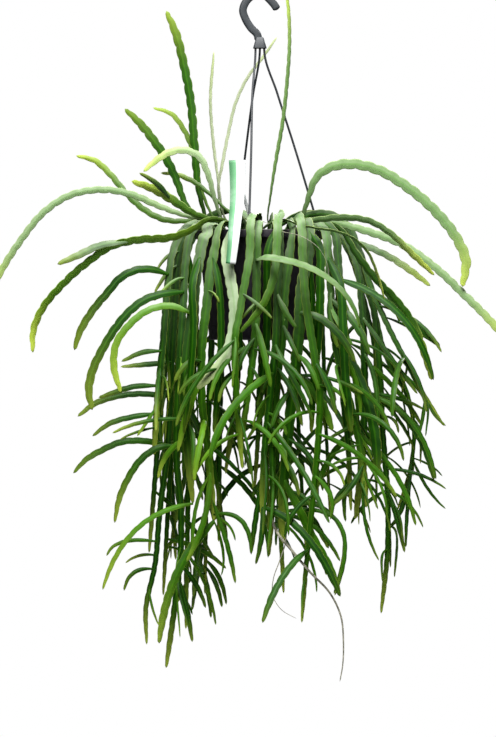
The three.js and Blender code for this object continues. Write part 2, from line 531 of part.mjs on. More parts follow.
// One grown stem: its name, width, line, and the frame its face starts with
function growStems() {
  const stems = [];
  for (const [group, members] of Object.entries(STEMS)) {
    members.forEach((member, index) => {
      const [x, y] = member.root;
      const upTo = [SOIL_TOP - ROOT_DEPTH, COLLAR_LOW, COLLAR_HIGH];
      const points = [...upTo.map((z) => [x, y, z]), ...member.route].map(vector);
      const trailing = group.startsWith('trail') || group === 'outer';
      const outward = new THREE.Vector3(x, y, 0).normalize();
      const hanging = new THREE.Vector3(0, -0.8, 0).addScaledVector(outward, trailing ? 0.5 : 0);
      hanging.applyAxisAngle(new THREE.Vector3(0, 0, 1), between(-0.3, 0.3)).normalize();
      const firstNormal = hanging.clone();
      if (trailing) firstNormal.addScaledVector(outward, -2 * hanging.dot(outward));
      stems.push({
        name: `${group}_${index + 1}`,
        width: member.width,
        shoots: member.shoots ?? 0,
        line: smoothLine(points, SAMPLE_STEP),
        firstNormal,
        facing: trailing ? hanging : null,
        rootTaper: trailing ? ROOT_TAPER : SLENDER_TAPER,
        narrowing: trailing ? NARROWING : 0,
        twist: between(-0.45, 0.45),
      });
    });
  }
  return stems;
}

function reachesOf(stem) {
  const lengths = runningLengths(stem.line);
  return lengths.map((place) => halfWidth(stem, place, lengths.at(-1)));
}

// Things that the stems keep clear of but never move
function fixedLines() {
  const strands = STRANDS.map(({ line }) => ({ line, reaches: line.map(() => STRAND_RADIUS) }));
  const panel = hangerLine(LABEL_PANEL);
  const leg = hangerLine(LABEL_LEG);
  return [
    ...strands,
    { line: panel, reaches: panel.map(() => LABEL_REACH) },
    { line: leg, reaches: leg.map(() => LABEL_LEG_WIDTH / 2) },
  ];
}

function boxAround(line, margin) {
  return new THREE.Box3().setFromPoints(line).expandByScalar(margin);
}

// Pushes on one line away from another, from the nearest sample of the other
function addPushes(pushes, own, other, share) {
  own.line.forEach((point, i) => {
    let nearest = Infinity;
    let nearestIndex = 0;
    other.line.forEach((candidate, j) => {
      const distance = point.distanceToSquared(candidate);
      if (distance < nearest) {
        nearest = distance;
        nearestIndex = j;
      }
    });
    const distance = Math.sqrt(nearest);
    const wanted = own.reaches[i] + other.reaches[nearestIndex] + STEM_GAP;
    if (distance >= wanted) return;
    const away = point.clone().sub(other.line[nearestIndex]).divideScalar(Math.max(distance, 0.01));
    pushes[i].addScaledVector(away, (wanted - distance) * share);
  });
}

// Loosens the stems: wherever two come too near, both bend apart, mostly in depth
function loosen(stems, fixed) {
  const softness = new THREE.Vector3(0.6, 1, 0.4);
  for (let round = 0; round < RELAX_ROUNDS; round += 1) {
    stems.forEach((stem) => {
      stem.reaches = reachesOf(stem);
      stem.box = boxAround(stem.line, stem.width);
    });
    const allPushes = stems.map((stem) => stem.line.map(() => new THREE.Vector3()));
    stems.forEach((stem, a) => {
      stems.forEach((other, b) => {
        if (a !== b && stem.box.intersectsBox(other.box)) {
          addPushes(allPushes[a], stem, other, RELAX_SHARE);
        }
      });
      fixed.forEach((thing) => addPushes(allPushes[a], stem, thing, 1));
    });
    stems.forEach((stem, a) => {
      const pushes = allPushes[a];
      stem.line.forEach((point, i) => {
        const before = pushes[Math.max(0, i - 1)];
        const after = pushes[Math.min(pushes.length - 1, i + 1)];
        const freedom = smoothStep((i - HELD_SAMPLES) / 3);
        const smooth = before.clone().add(after).multiplyScalar(0.25).addScaledVector(pushes[i], 0.5);
        point.addScaledVector(smooth.multiply(softness), freedom);
        if (i > HELD_SAMPLES) clearOfPot(point, stem.reaches[i] + 1);
      });
    });
  }
}

// The plant is widest half way down, and its bottom edge has a gap left of the middle
function outsideSpread(point) {
  const below = Math.max(0, SPREAD_LEVEL - point.z);
  const bottom = point.x < -40 ? SPREAD_BOTTOM_LEFT : SPREAD_BOTTOM_RIGHT;
  const inGap = point.x > -34 && point.x < -4 && point.z < SPREAD_GAP_TOP;
  return point.x < -SPREAD_LEFT + SPREAD_SLOPE_LEFT * below
    || point.x > SPREAD_RIGHT - SPREAD_SLOPE_RIGHT * below
    || point.z < bottom || inGap;
}

// How far a shoot's line stays clear of other nodes and of where shoots may not grow
function clearLength(line, width, parentName, taken, isOutside) {
  const lengths = runningLengths(line);
  for (let i = 0; i < line.length; i += 1) {
    const reach = 0.5 * width;
    const probe = line[i].clone();
    clearOfPot(probe, reach + 1);
    const outside = probe.distanceTo(line[i]) > 0.5 || isOutside(line[i]);
    const blocked = outside || taken.some((thing) => (
      thing.name !== parentName
      && thing.box.containsPoint(line[i])
      && thing.line.some((point, j) => (
        point.distanceTo(line[i]) < reach + thing.reaches[j] + STEM_GAP
      ))
    ));
    if (blocked) return lengths[Math.max(0, i - 1)];
  }
  return lengths.at(-1);
}

// Keeps the first of several tries that is clear, or else the longest clear stretch
function bestShoot(tries, width, parent, taken, isOutside = () => false) {
  let best = null;
  let bestLength = 0;
  for (const line of tries) {
    const total = runningLengths(line).at(-1);
    const clear = clearLength(line, width, parent.name, taken, isOutside);
    if (clear > bestLength + TIE_MARGIN) {
      bestLength = clear;
      best = line;
    }
    if (clear >= total) break;
  }
  if (best === null || bestLength < SHOOT_MIN_LENGTH) return null;
  return pointsAt(best, evenPlaces(bestLength, SAMPLE_STEP));
}

function recordShoot(parent, line, width, taken) {
  const reaches = line.map(() => 0.5 * width);
  const facing = new THREE.Vector3(between(-0.5, 0.5), -1, 0.5).normalize();
  taken.push({ name: parent.name, line, reaches, box: boxAround(line, width) });
  parent.shootList.push({ line, width, firstNormal: facing, twist: between(-0.6, 0.6) });
}

// Shoots set by hand, leaned forward or back where their way is taken
function growSetShoots(stems, taken) {
  for (const shoot of SET_SHOOTS) {
    const parent = stems.find((stem) => stem.name === shoot.parent);
    const wanted = vector(shoot.route[0]);
    const start = parent.line.reduce((a, b) => (
      a.distanceToSquared(wanted) <= b.distanceToSquared(wanted) ? a : b
    ));
    const tries = LEANS.map((lean) => {
      const points = shoot.route.map((place, k) => {
        const point = vector(place);
        point.y += (lean * k) / (shoot.route.length - 1);
        return k === 0 ? start.clone() : point;
      });
      return smoothLine(points, SAMPLE_STEP);
    });
    const line = bestShoot(tries, shoot.width, parent, taken);
    if (line) recordShoot(parent, line, shoot.width, taken);
  }
}

// Curling shoots, each one quadratic curve from its stem, past its corner, to its end
function growCurls(stems, taken) {
  for (const curl of CURLS) {
    const parent = stems.find((stem) => stem.name === curl.parent);
    const start = parent.line.reduce((a, b) => (
      Math.abs(a.z - curl.leaves) <= Math.abs(b.z - curl.leaves) ? a : b
    ));
    const tries = LEANS.map((lean) => {
      const depth = start.y + curl.depth + lean;
      const corner = new THREE.Vector3(curl.corner[0], depth, curl.corner[1]);
      const end = new THREE.Vector3(curl.end[0], depth, curl.end[1]);
      const line = new THREE.QuadraticBezierCurve3(start, corner, end).getPoints(CURL_PIECES);
      return pointsAt(line, evenPlaces(runningLengths(line).at(-1), SAMPLE_STEP));
    });
    const line = bestShoot(tries, curl.width, parent, taken);
    if (line) recordShoot(parent, line, curl.width, taken);
  }
}

// A drooping shoot: it leaves sideways and bends down evenly along its length
function droopingLine(start, heading, length, firstDroop, lastDroop) {
  const pieces = 8;
  const aside = new THREE.Vector2(Math.cos(heading), SHOOT_DEPTH_SHARE * Math.sin(heading)).normalize();
  const point = start.clone();
  const points = [point.clone()];
  for (let k = 0; k < pieces; k += 1) {
    const droop = firstDroop + ((lastDroop - firstDroop) * (k + 0.5)) / pieces;
    point.x += (aside.x * Math.cos(droop) * length) / pieces;
    point.y += (aside.y * Math.cos(droop) * length) / pieces;
    point.z -= (Math.sin(droop) * length) / pieces;
    points.push(point.clone());
  }
  return smoothLine(points, SAMPLE_STEP);
}

// Shoots grown by rule along the lower part of each trailing stem, sides in turn
function growRuledShoots(stems, taken) {
  const turns = [0, 0.5, -0.5, 1, -1, 1.6, -1.6, 2.4, -2.4, Math.PI];
  for (const stem of stems) {
    const lengths = runningLengths(stem.line);
    const total = lengths.at(-1);
    for (let k = 0; k < stem.shoots; k += 1) {
      const place = total * (0.42 + (0.5 * (k + between(0.2, 0.8))) / stem.shoots);
      const start = pointsAt(stem.line, [place])[0];
      const sideways = start.x < -20 ? Math.PI : 0;
      const flip = k % 2 === 0 ? 0 : Math.PI;
      const heading = sideways + flip + between(-0.7, 0.7);
      const length = between(75, 155);
      const width = stem.width * between(0.5, 0.8);
      const firstDroop = between(0, 0.7);
      const lastDroop = between(1, 1.5);
      const tries = turns.map((turn) => (
        droopingLine(start, heading + turn, length, firstDroop, lastDroop)
      ));
      const line = bestShoot(tries, width, stem, taken, outsideSpread);
      if (line) recordShoot(stem, line, width, taken);
    }
  }
}

// Ring of four corners: two edges of the blade and the two sides of its middle rib
function bladeRing(frame, half, thickness, notchSide) {
  const left = half * (notchSide > 0 ? NOTCH_SHARE : 1);
  const right = half * (notchSide < 0 ? NOTCH_SHARE : 1);
  return [
    frame.point.clone().addScaledVector(frame.across, left),
    frame.point.clone().addScaledVector(frame.normal, thickness / 2),
    frame.point.clone().addScaledVector(frame.across, -right),
    frame.point.clone().addScaledVector(frame.normal, -thickness / 2),
  ];
}

// Closed solid through rings with the same number of corners; both faces split alike
function solidThroughRings(rings) {
  const corners = rings[0].length;
  const positions = rings.flat().flatMap((p) => [p.x, p.y, p.z]);
  const faces = [];
  for (let k = 0; k < rings.length - 1; k += 1) {
    for (let j = 0; j < corners; j += 1) {
      const a = k * corners + j;
      const b = k * corners + ((j + 1) % corners);
      const c = a + corners;
      const d = b + corners;
      if (j % 2 === 0) faces.push(a, b, d, a, d, c);
      else faces.push(a, b, c, b, d, c);
    }
  }
  const last = (rings.length - 1) * corners;
  for (let j = 1; j < corners - 1; j += 1) {
    faces.push(0, j + 1, j);
    faces.push(last, last + j, last + j + 1);
  }
  const geometry = new THREE.BufferGeometry();
  geometry.setAttribute('position', new THREE.Float32BufferAttribute(positions, 3));
  geometry.setIndex(faces);
  return geometry;
}

// Blade along a line, with notches that take turns on its two edges
function bladeGeometry(blade, places) {
  const dense = framesAlong(blade.line, blade.firstNormal, blade.twist, blade.facing);
  const lengths = runningLengths(blade.line);
  const total = lengths.at(-1);
  const points = pointsAt(blade.line, places);
  const rings = places.map((place, k) => {
    const nearest = lengths.reduce((best, value, i) => (
      Math.abs(value - place) < Math.abs(lengths[best] - place) ? i : best
    ), 0);
    const frame = { ...dense[nearest], point: points[k] };
    const half = halfWidth(blade, place, total);
    const thickness = STEM_THICKNESS * (k === places.length - 1 ? 0.4 : 1);
    const plain = k < 2 || k === places.length - 1;
    return bladeRing(frame, half, thickness, plain ? 0 : (k % 2) * 2 - 1);
  });
  return solidThroughRings(rings);
}

// Places for rings: no farther apart than the step, and closer where the line bends
function ringPlaces(line, step, firstPlace) {
  const lengths = runningLengths(line);
  const effort = [0];
  for (let k = 1; k < line.length; k += 1) {
    const before = line[k].clone().sub(line[k - 1]);
    const after = line[Math.min(k + 1, line.length - 1)].clone().sub(line[k]);
    const bend = after.length() > 0 ? before.angleTo(after) : 0;
    const stretch = (lengths[k] - Math.max(lengths[k - 1], firstPlace)) / step;
    effort.push(effort[k - 1] + (lengths[k] <= firstPlace ? 0 : stretch + bend / RING_BEND));
  }
  const count = Math.max(2, Math.round(effort.at(-1)));
  const places = firstPlace > 0 ? [0] : [];
  let k = 1;
  for (let i = 0; i <= count; i += 1) {
    const wanted = (effort.at(-1) * i) / count;
    while (k < line.length - 1 && effort[k] < wanted) k += 1;
    const share = (wanted - effort[k - 1]) / Math.max(effort[k] - effort[k - 1], 1e-6);
    const low = Math.max(lengths[k - 1], firstPlace);
    places.push(i === 0 ? firstPlace : low + Math.min(1, share) * (lengths[k] - low));
  }
  return places;
}

// Three.js geometry to a manifold solid, and back
function toSolid(geometry) {
  const bare = geometry.clone();
  bare.deleteAttribute('normal');
  bare.deleteAttribute('uv');
  const merged = mergeVertices(bare, 1e-4);
  return new wasm.Manifold(new wasm.Mesh({
    numProp: 3,
    vertProperties: new Float32Array(merged.attributes.position.array),
    triVerts: new Uint32Array(merged.index.array),
  }));
}

function toGeometry(solid) {
  const mesh = solid.getMesh();
  const geometry = new THREE.BufferGeometry();
  geometry.setAttribute('position', new THREE.BufferAttribute(mesh.vertProperties, 3));
  geometry.setIndex(new THREE.BufferAttribute(mesh.triVerts, 1));
  return geometry;
}

function stemGeometry(stem) {
  const own = bladeGeometry(stem, ringPlaces(stem.line, STEM_RING_STEP, ROOT_DEPTH + 2));
  if (stem.shootList.length === 0) return own;
  let solid = toSolid(own);
  for (const shoot of stem.shootList) {
    const places = ringPlaces(shoot.line, SHOOT_RING_STEP, 0);
    solid = solid.add(toSolid(bladeGeometry(shoot, places)));
  }
  return toGeometry(solid);
}

// Box with its middle at a point, turned about the vertical
function turnedBox(width, depth, height, x, y, z, angle) {
  const geometry = new THREE.BoxGeometry(width, depth, height);
  geometry.rotateZ(angle);
  geometry.translate(x, y, z);
  return geometry;
}

function lathe(profile) {
  const points = profile.map(([radius, z]) => new THREE.Vector2(radius, z));
  const geometry = new THREE.LatheGeometry(points, POT_SIDES);
  geometry.rotateX(Math.PI / 2);
  return geometry;
}

function potGeometry() {
  const bottom = RIM_TOP - POT_HEIGHT;
  const inner = RIM_RADIUS - SKIRT_REACH;
  const shell = lathe([
    [0, bottom],
    [BASE_RADIUS, bottom],
    [inner + POT_WALL, RIM_TOP - POT_WALL],
    [RIM_RADIUS - POT_WALL, RIM_TOP - POT_WALL],
    [RIM_RADIUS - POT_WALL, RIM_TOP - SKIRT_HEIGHT],
    [RIM_RADIUS, RIM_TOP - SKIRT_HEIGHT],
    [RIM_RADIUS, RIM_TOP],
    [inner, RIM_TOP],
    [BASE_RADIUS - POT_WALL, bottom + POT_WALL],
    [0, bottom + POT_WALL],
  ]);
  let solid = toSolid(shell);
  for (let k = 0; k < DRAIN_HOLES; k += 1) {
    const angle = (k * 2 * Math.PI) / DRAIN_HOLES;
    const drill = new THREE.CylinderGeometry(DRAIN_RADIUS, DRAIN_RADIUS, 4 * POT_WALL, 8);
    drill.rotateX(Math.PI / 2);
    drill.translate(DRAIN_CIRCLE * Math.cos(angle), DRAIN_CIRCLE * Math.sin(angle), bottom + POT_WALL / 2);
    solid = solid.subtract(toSolid(drill));
  }
  return toGeometry(solid);
}

// Soil fills the pot, with a plain hole for each stem and for the label's leg
function soilGeometry(stems) {
  const bottom = RIM_TOP - POT_HEIGHT + POT_WALL;
  const inner = RIM_RADIUS - SKIRT_REACH;
  const slope = (inner - BASE_RADIUS + POT_WALL) / (POT_HEIGHT - POT_WALL);
  const edge = SOIL_TOP - SOIL_EDGE_DROP;
  let solid = toSolid(lathe([
    [0, bottom + CLEARANCE],
    [BASE_RADIUS - POT_WALL - CLEARANCE, bottom + CLEARANCE],
    [inner - (RIM_TOP - edge) * slope - CLEARANCE, edge],
    [50, SOIL_TOP - 0.5],
    [0, SOIL_TOP],
  ]));
  const cut = (x, y, width, depth, angle) => {
    const middle = SOIL_TOP - HOLE_DEPTH / 2 + 2;
    solid = solid.subtract(toSolid(turnedBox(width, depth, HOLE_DEPTH + 4, x, y, middle, angle)));
  };
  for (const stem of stems) {
    const frame = framesAlong(stem.line, stem.firstNormal, stem.twist)[0];
    const width = stem.width * ROOT_NARROWING + 2 * CLEARANCE;
    const angle = Math.atan2(frame.across.y, frame.across.x);
    cut(stem.line[0].x, stem.line[0].y, width, STEM_THICKNESS + 2 * CLEARANCE, angle);
  }
  const [legX, legY] = LABEL_LEG_ROOT;
  const legFrame = framesAlong(LABEL_LEG.map(vector), LABEL_FACING, 0).at(-1);
  const legAngle = Math.atan2(legFrame.across.y, legFrame.across.x);
  cut(legX, legY, LABEL_LEG_WIDTH + 2 * CLEARANCE, LABEL_THICKNESS + 2 * CLEARANCE, legAngle);
  return toGeometry(solid);
}

// Flat strip of changing width along a line, its broad face towards the front
function stripGeometry(points, widths, thickness) {
  const line = points.map(vector);
  const frames = framesAlong(line, LABEL_FACING, 0);
  const rings = frames.map(({ point, normal, across }, k) => {
    const side = across.clone().multiplyScalar(widths[k] / 2);
    const face = normal.clone().multiplyScalar(thickness / 2);
    return [
      point.clone().add(side).sub(face),
      point.clone().add(side).add(face),
      point.clone().sub(side).add(face),
      point.clone().sub(side).sub(face),
    ];
  });
  return solidThroughRings(rings);
}

function labelGeometry() {
  const count = LABEL_PANEL.length - 1;
  const panelWidths = LABEL_PANEL.map((unused, k) => (
    LABEL_WIDTH_TOP + ((LABEL_WIDTH_BOTTOM - LABEL_WIDTH_TOP) * k) / count
  ));
  const panel = stripGeometry(LABEL_PANEL, panelWidths, LABEL_THICKNESS);
  const leg = stripGeometry(LABEL_LEG, LABEL_LEG.map(() => LABEL_LEG_WIDTH), LABEL_THICKNESS);
  return toGeometry(toSolid(panel).add(toSolid(leg)));
}

// The hook's bar: up from the block, over the inside top at the origin, to a rounded tip
function hookGeometry() {
  const centre = [
    [-1.5, BLOCK_TOP - 4], [-3, BLOCK_TOP + 3], [-10, -35.5], [-16.5, -25], [-19.5, -15], [-15.5, -4.6],
    [-9, 1.5], [-1, HOOK_BAR_WIDTH / 2], [6.5, 1.5], [13, -4.6], [17.5, -10], [20, -14.5],
  ];
  const line = centre.map(([x, z]) => new THREE.Vector3(x, 0, z));
  const frames = framesAlong(line, new THREE.Vector3(0, -1, 0), 0);
  const rings = frames.map(({ point, normal, across }, k) => {
    const share = k === frames.length - 1 ? 0.55 : 1;
    const corners = 8;
    return Array.from({ length: corners }, (unused, j) => {
      const angle = ((j + 0.5) * 2 * Math.PI) / corners;
      return point.clone()
        .addScaledVector(across, (Math.cos(angle) * share * HOOK_BAR_WIDTH) / 2)
        .addScaledVector(normal, (Math.sin(angle) * share * HOOK_BAR_DEPTH) / 2);
    });
  });
  const width = BLOCK_BASE_WIDTH / 2;
  const depth = BLOCK_BASE_DEPTH / 2;
  const levels = [[BLOCK_BASE, 1], [BLOCK_BASE + 2, 1], [BLOCK_TOP, 0.52]];
  const blockRings = levels.map(([z, share]) => [
    new THREE.Vector3(width * share, -depth * share, z),
    new THREE.Vector3(width * share, depth * share, z),
    new THREE.Vector3(-width * share, depth * share, z),
    new THREE.Vector3(-width * share, -depth * share, z),
  ]);
  let solid = toSolid(solidThroughRings(rings)).add(toSolid(solidThroughRings(blockRings)));
  for (const strand of STRANDS) {
    const radius = STRAND_RADIUS + 1.3 * CLEARANCE;
    const bore = new THREE.CylinderGeometry(radius, radius, 2 * SOCKET_DEPTH, 8);
    bore.rotateX(Math.PI / 2);
    bore.translate(strand.top[0], strand.top[1], BLOCK_BASE);
    solid = solid.subtract(toSolid(bore));
  }
  return toGeometry(solid);
}

// A strand with the small foot that lies on the rim and the prong inside the wall
function strandGeometry(strand) {
  const points = pointsAt(strand.line, ringPlaces(strand.line, STRAND_RING_STEP, SOCKET_DEPTH + 2));
  const frames = framesAlong(points, new THREE.Vector3(0, -1, 0), 0);
  const rings = frames.map(({ point, normal, across }) => (
    Array.from({ length: STRAND_SIDES }, (unused, j) => {
      const angle = (j * 2 * Math.PI) / STRAND_SIDES;
      return point.clone()
        .addScaledVector(across, Math.cos(angle) * STRAND_RADIUS)
        .addScaledVector(normal, Math.sin(angle) * STRAND_RADIUS);
    })
  ));
  const angle = THREE.MathUtils.degToRad(strand.foot);
  const inner = RIM_RADIUS - SKIRT_REACH;
  const footInside = inner - PRONG_SETBACK - PRONG_THICKNESS;
  const footMiddle = footInside + FOOT_LENGTH / 2;
  const footZ = RIM_TOP + CLEARANCE + FOOT_HEIGHT / 2;
  const foot = turnedBox(FOOT_LENGTH, FOOT_WIDTH, FOOT_HEIGHT,
    footMiddle * Math.cos(angle), footMiddle * Math.sin(angle), footZ, angle);
  const prongMiddle = footInside + PRONG_THICKNESS / 2;
  const prong = turnedBox(PRONG_THICKNESS, FOOT_WIDTH - 1, PRONG_LENGTH,
    prongMiddle * Math.cos(angle), prongMiddle * Math.sin(angle), footZ - PRONG_LENGTH / 2, angle);
  const solid = toSolid(solidThroughRings(rings)).add(toSolid(foot)).add(toSolid(prong));
  return toGeometry(solid);
}

function named(name, geometry, colour, roughness) {
  const material = new THREE.MeshStandardMaterial({ color: colour, roughness, metalness: 0 });
  const mesh = new THREE.Mesh(geometry, material);
  mesh.name = name;
  return mesh;
}

const stems = growStems();
loosen(stems, fixedLines());
stems.forEach((stem) => {
  stem.reaches = reachesOf(stem);
  stem.box = boxAround(stem.line, 2 * stem.width);
  stem.shootList = [];
});
const taken = [
  ...stems,
  ...fixedLines().map((thing) => ({ ...thing, name: 'fixed', box: boxAround(thing.line, WIDEST_REACH) })),
];
growSetShoots(stems, taken);
growCurls(stems, taken);
growRuledShoots(stems, taken);

const plant = new THREE.Group();
plant.add(named('pot', potGeometry(), COLOURS.pot, 0.45));
plant.add(named('soil', soilGeometry(stems), COLOURS.soil, 0.95));
plant.add(named('hook', hookGeometry(), COLOURS.hanger, 0.5));
STRANDS.forEach((strand) => {
  plant.add(named(strand.name, strandGeometry(strand), COLOURS.hanger, 0.5));
});
plant.add(named('label', labelGeometry(), COLOURS.label, 0.4));
stems.forEach((stem) => {
  const colour = stem.name.startsWith('upright') ? COLOURS.stem : COLOURS.pale;
  plant.add(named(stem.name, stemGeometry(stem), colour, 0.5));
});

export default plant;
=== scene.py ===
"""Lepismium bolivianum in a hanging pot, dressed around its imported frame. Metres, +Z up, front at -Y."""
import math

import bpy
import numpy as np
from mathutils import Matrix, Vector


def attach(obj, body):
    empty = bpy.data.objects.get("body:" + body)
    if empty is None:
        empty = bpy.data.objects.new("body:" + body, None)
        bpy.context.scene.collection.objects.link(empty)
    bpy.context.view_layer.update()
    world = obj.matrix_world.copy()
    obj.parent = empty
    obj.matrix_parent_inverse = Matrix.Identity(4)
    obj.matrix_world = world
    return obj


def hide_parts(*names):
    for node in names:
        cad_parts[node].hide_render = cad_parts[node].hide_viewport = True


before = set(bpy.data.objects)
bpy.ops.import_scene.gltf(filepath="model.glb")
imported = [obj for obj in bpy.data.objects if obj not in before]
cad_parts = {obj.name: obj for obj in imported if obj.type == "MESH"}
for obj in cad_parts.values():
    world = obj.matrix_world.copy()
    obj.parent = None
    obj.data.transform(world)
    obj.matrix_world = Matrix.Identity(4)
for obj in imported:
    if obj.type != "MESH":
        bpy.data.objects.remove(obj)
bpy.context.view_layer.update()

MM = 0.001

# Pot and soil, in mm as every size up to the mesh makers
RIM_TOP = -269
RIM_RADIUS = 75
POT_HEIGHT = 125
POT_BOTTOM = RIM_TOP - POT_HEIGHT
BASE_RADIUS = 58
POT_WALL = 1.4
SKIRT_HEIGHT = 9
SKIRT_REACH = 4.9
RIM_INSIDE = RIM_RADIUS - SKIRT_REACH
DRAIN_HOLES = 6
DRAIN_RADIUS = 5
DRAIN_CIRCLE = 36
BASE_LIFT = 1.2
CLEARANCE = 0.38
SOIL_TOP = -281
SOIL_EDGE_DROP = 2
ROOT_DEPTH = 19
COLLAR_LOW = SOIL_TOP + 2
COLLAR_HIGH = SOIL_TOP + 8

# Room round the pot: what stands well inside its base is left alone, the rest keeps a margin off it, and
# a shoot ends where the pot would move it
WELL_INSIDE = 8
POT_MARGIN = 1
MOVED_BY_POT = 0.5

# Hanger
HOOK_BAR_WIDTH = 9
HOOK_BAR_DEPTH = 5.4
BLOCK_TOP = -46
BLOCK_BASE = -59
BLOCK_BASE_WIDTH = 16
BLOCK_BASE_DEPTH = 11
STRAND_RADIUS = 1.3
SOCKET_DEPTH = 7
FOOT_LENGTH = 6
FOOT_WIDTH = 5
FOOT_HEIGHT = 1.8
PRONG_LENGTH = 7
PRONG_THICKNESS = 1.2
PRONG_SETBACK = 1.3
STRAND_STRAIGHT = 2
STRAND_SINK = 0.8

# Label
LABEL_WIDTH_TOP = 19
LABEL_WIDTH_BOTTOM = 11
LABEL_THICKNESS = 0.9
LABEL_LEG_WIDTH = 4
LABEL_REACH = 6
LABEL_STEP = 2.5
LABEL_CORNERS = 32
LABEL_POWER = 9
LABEL_LEG_ROOT = (-8, -52)

# Stems: their section and how their width, face and twist change from root to tip
STEM_THICKNESS = 2.8
ROOT_NARROWING = 0.5
ROOT_TAPER = 45
SLENDER_TAPER = 110
NARROWING = 0.42
NARROWING_POWER = 1.5
FACING_START = 60
FACING_TAPER = 50
FACING_SPREAD = 0.3
HANG_FORWARD = 0.8
HANG_OUTWARD = 0.5
TWIST_START = 30
TWIST_SPREAD = 0.45
SHOOT_TAPER = 20
TIP_TAPER = 30
TIP_WIDTH_SHARE = 0.28
SAMPLE_STEP = 8

# How crowded stems bend apart
STEM_GAP = 1.8
RELAX_ROUNDS = 70
RELAX_SHARE = 0.5
HELD_SAMPLES = 4
HELD_EASE = 3
FREEDOM = (0.6, 1, 0.4)
WIDEST_REACH = 22

# Side shoots: what one tries when its way is taken, and when it counts as grown
SHOOT_MIN_LENGTH = 42
SHOOT_DEPTH_SHARE = 0.6
TIE_MARGIN = 0.5
CURL_PIECES = 16
DROOP_PIECES = 8
SHOOT_FACING_SPREAD = 0.5
SHOOT_TWIST_SPREAD = 0.6
LEANS = (0, -10, 10, -20, 20, -32, 32, -45, 45)
TURNS = (0, 0.5, -0.5, 1, -1, 1.6, -1.6, 2.4, -2.4, math.pi)
SEED = 4711

# The plant's outline as seen from the front, for the ruled shoots
SPREAD_LEFT = 128
SPREAD_RIGHT = 214
SPREAD_LEVEL = -560
SPREAD_SLOPE_LEFT = 0.15
SPREAD_SLOPE_RIGHT = 0.5
SPREAD_BOTTOM_LEFT = -772
SPREAD_BOTTOM_RIGHT = -714
SPREAD_BOTTOM_SPLIT = -40
SPREAD_GAP = (-34, -4)
SPREAD_GAP_TOP = -585

# Ruled shoots: where they leave, as shares of the stem, how they turn, and their sizes
RULED_FIRST = 0.42
RULED_SPAN = 0.5
RULED_PLACES = (0.2, 0.8)
RULED_SIDE = -20
RULED_TURN = (-0.7, 0.7)
RULED_LENGTH = (75, 155)
RULED_WIDTH = (0.5, 0.8)
RULED_DROOP = ((0, 0.7), (1, 1.5))

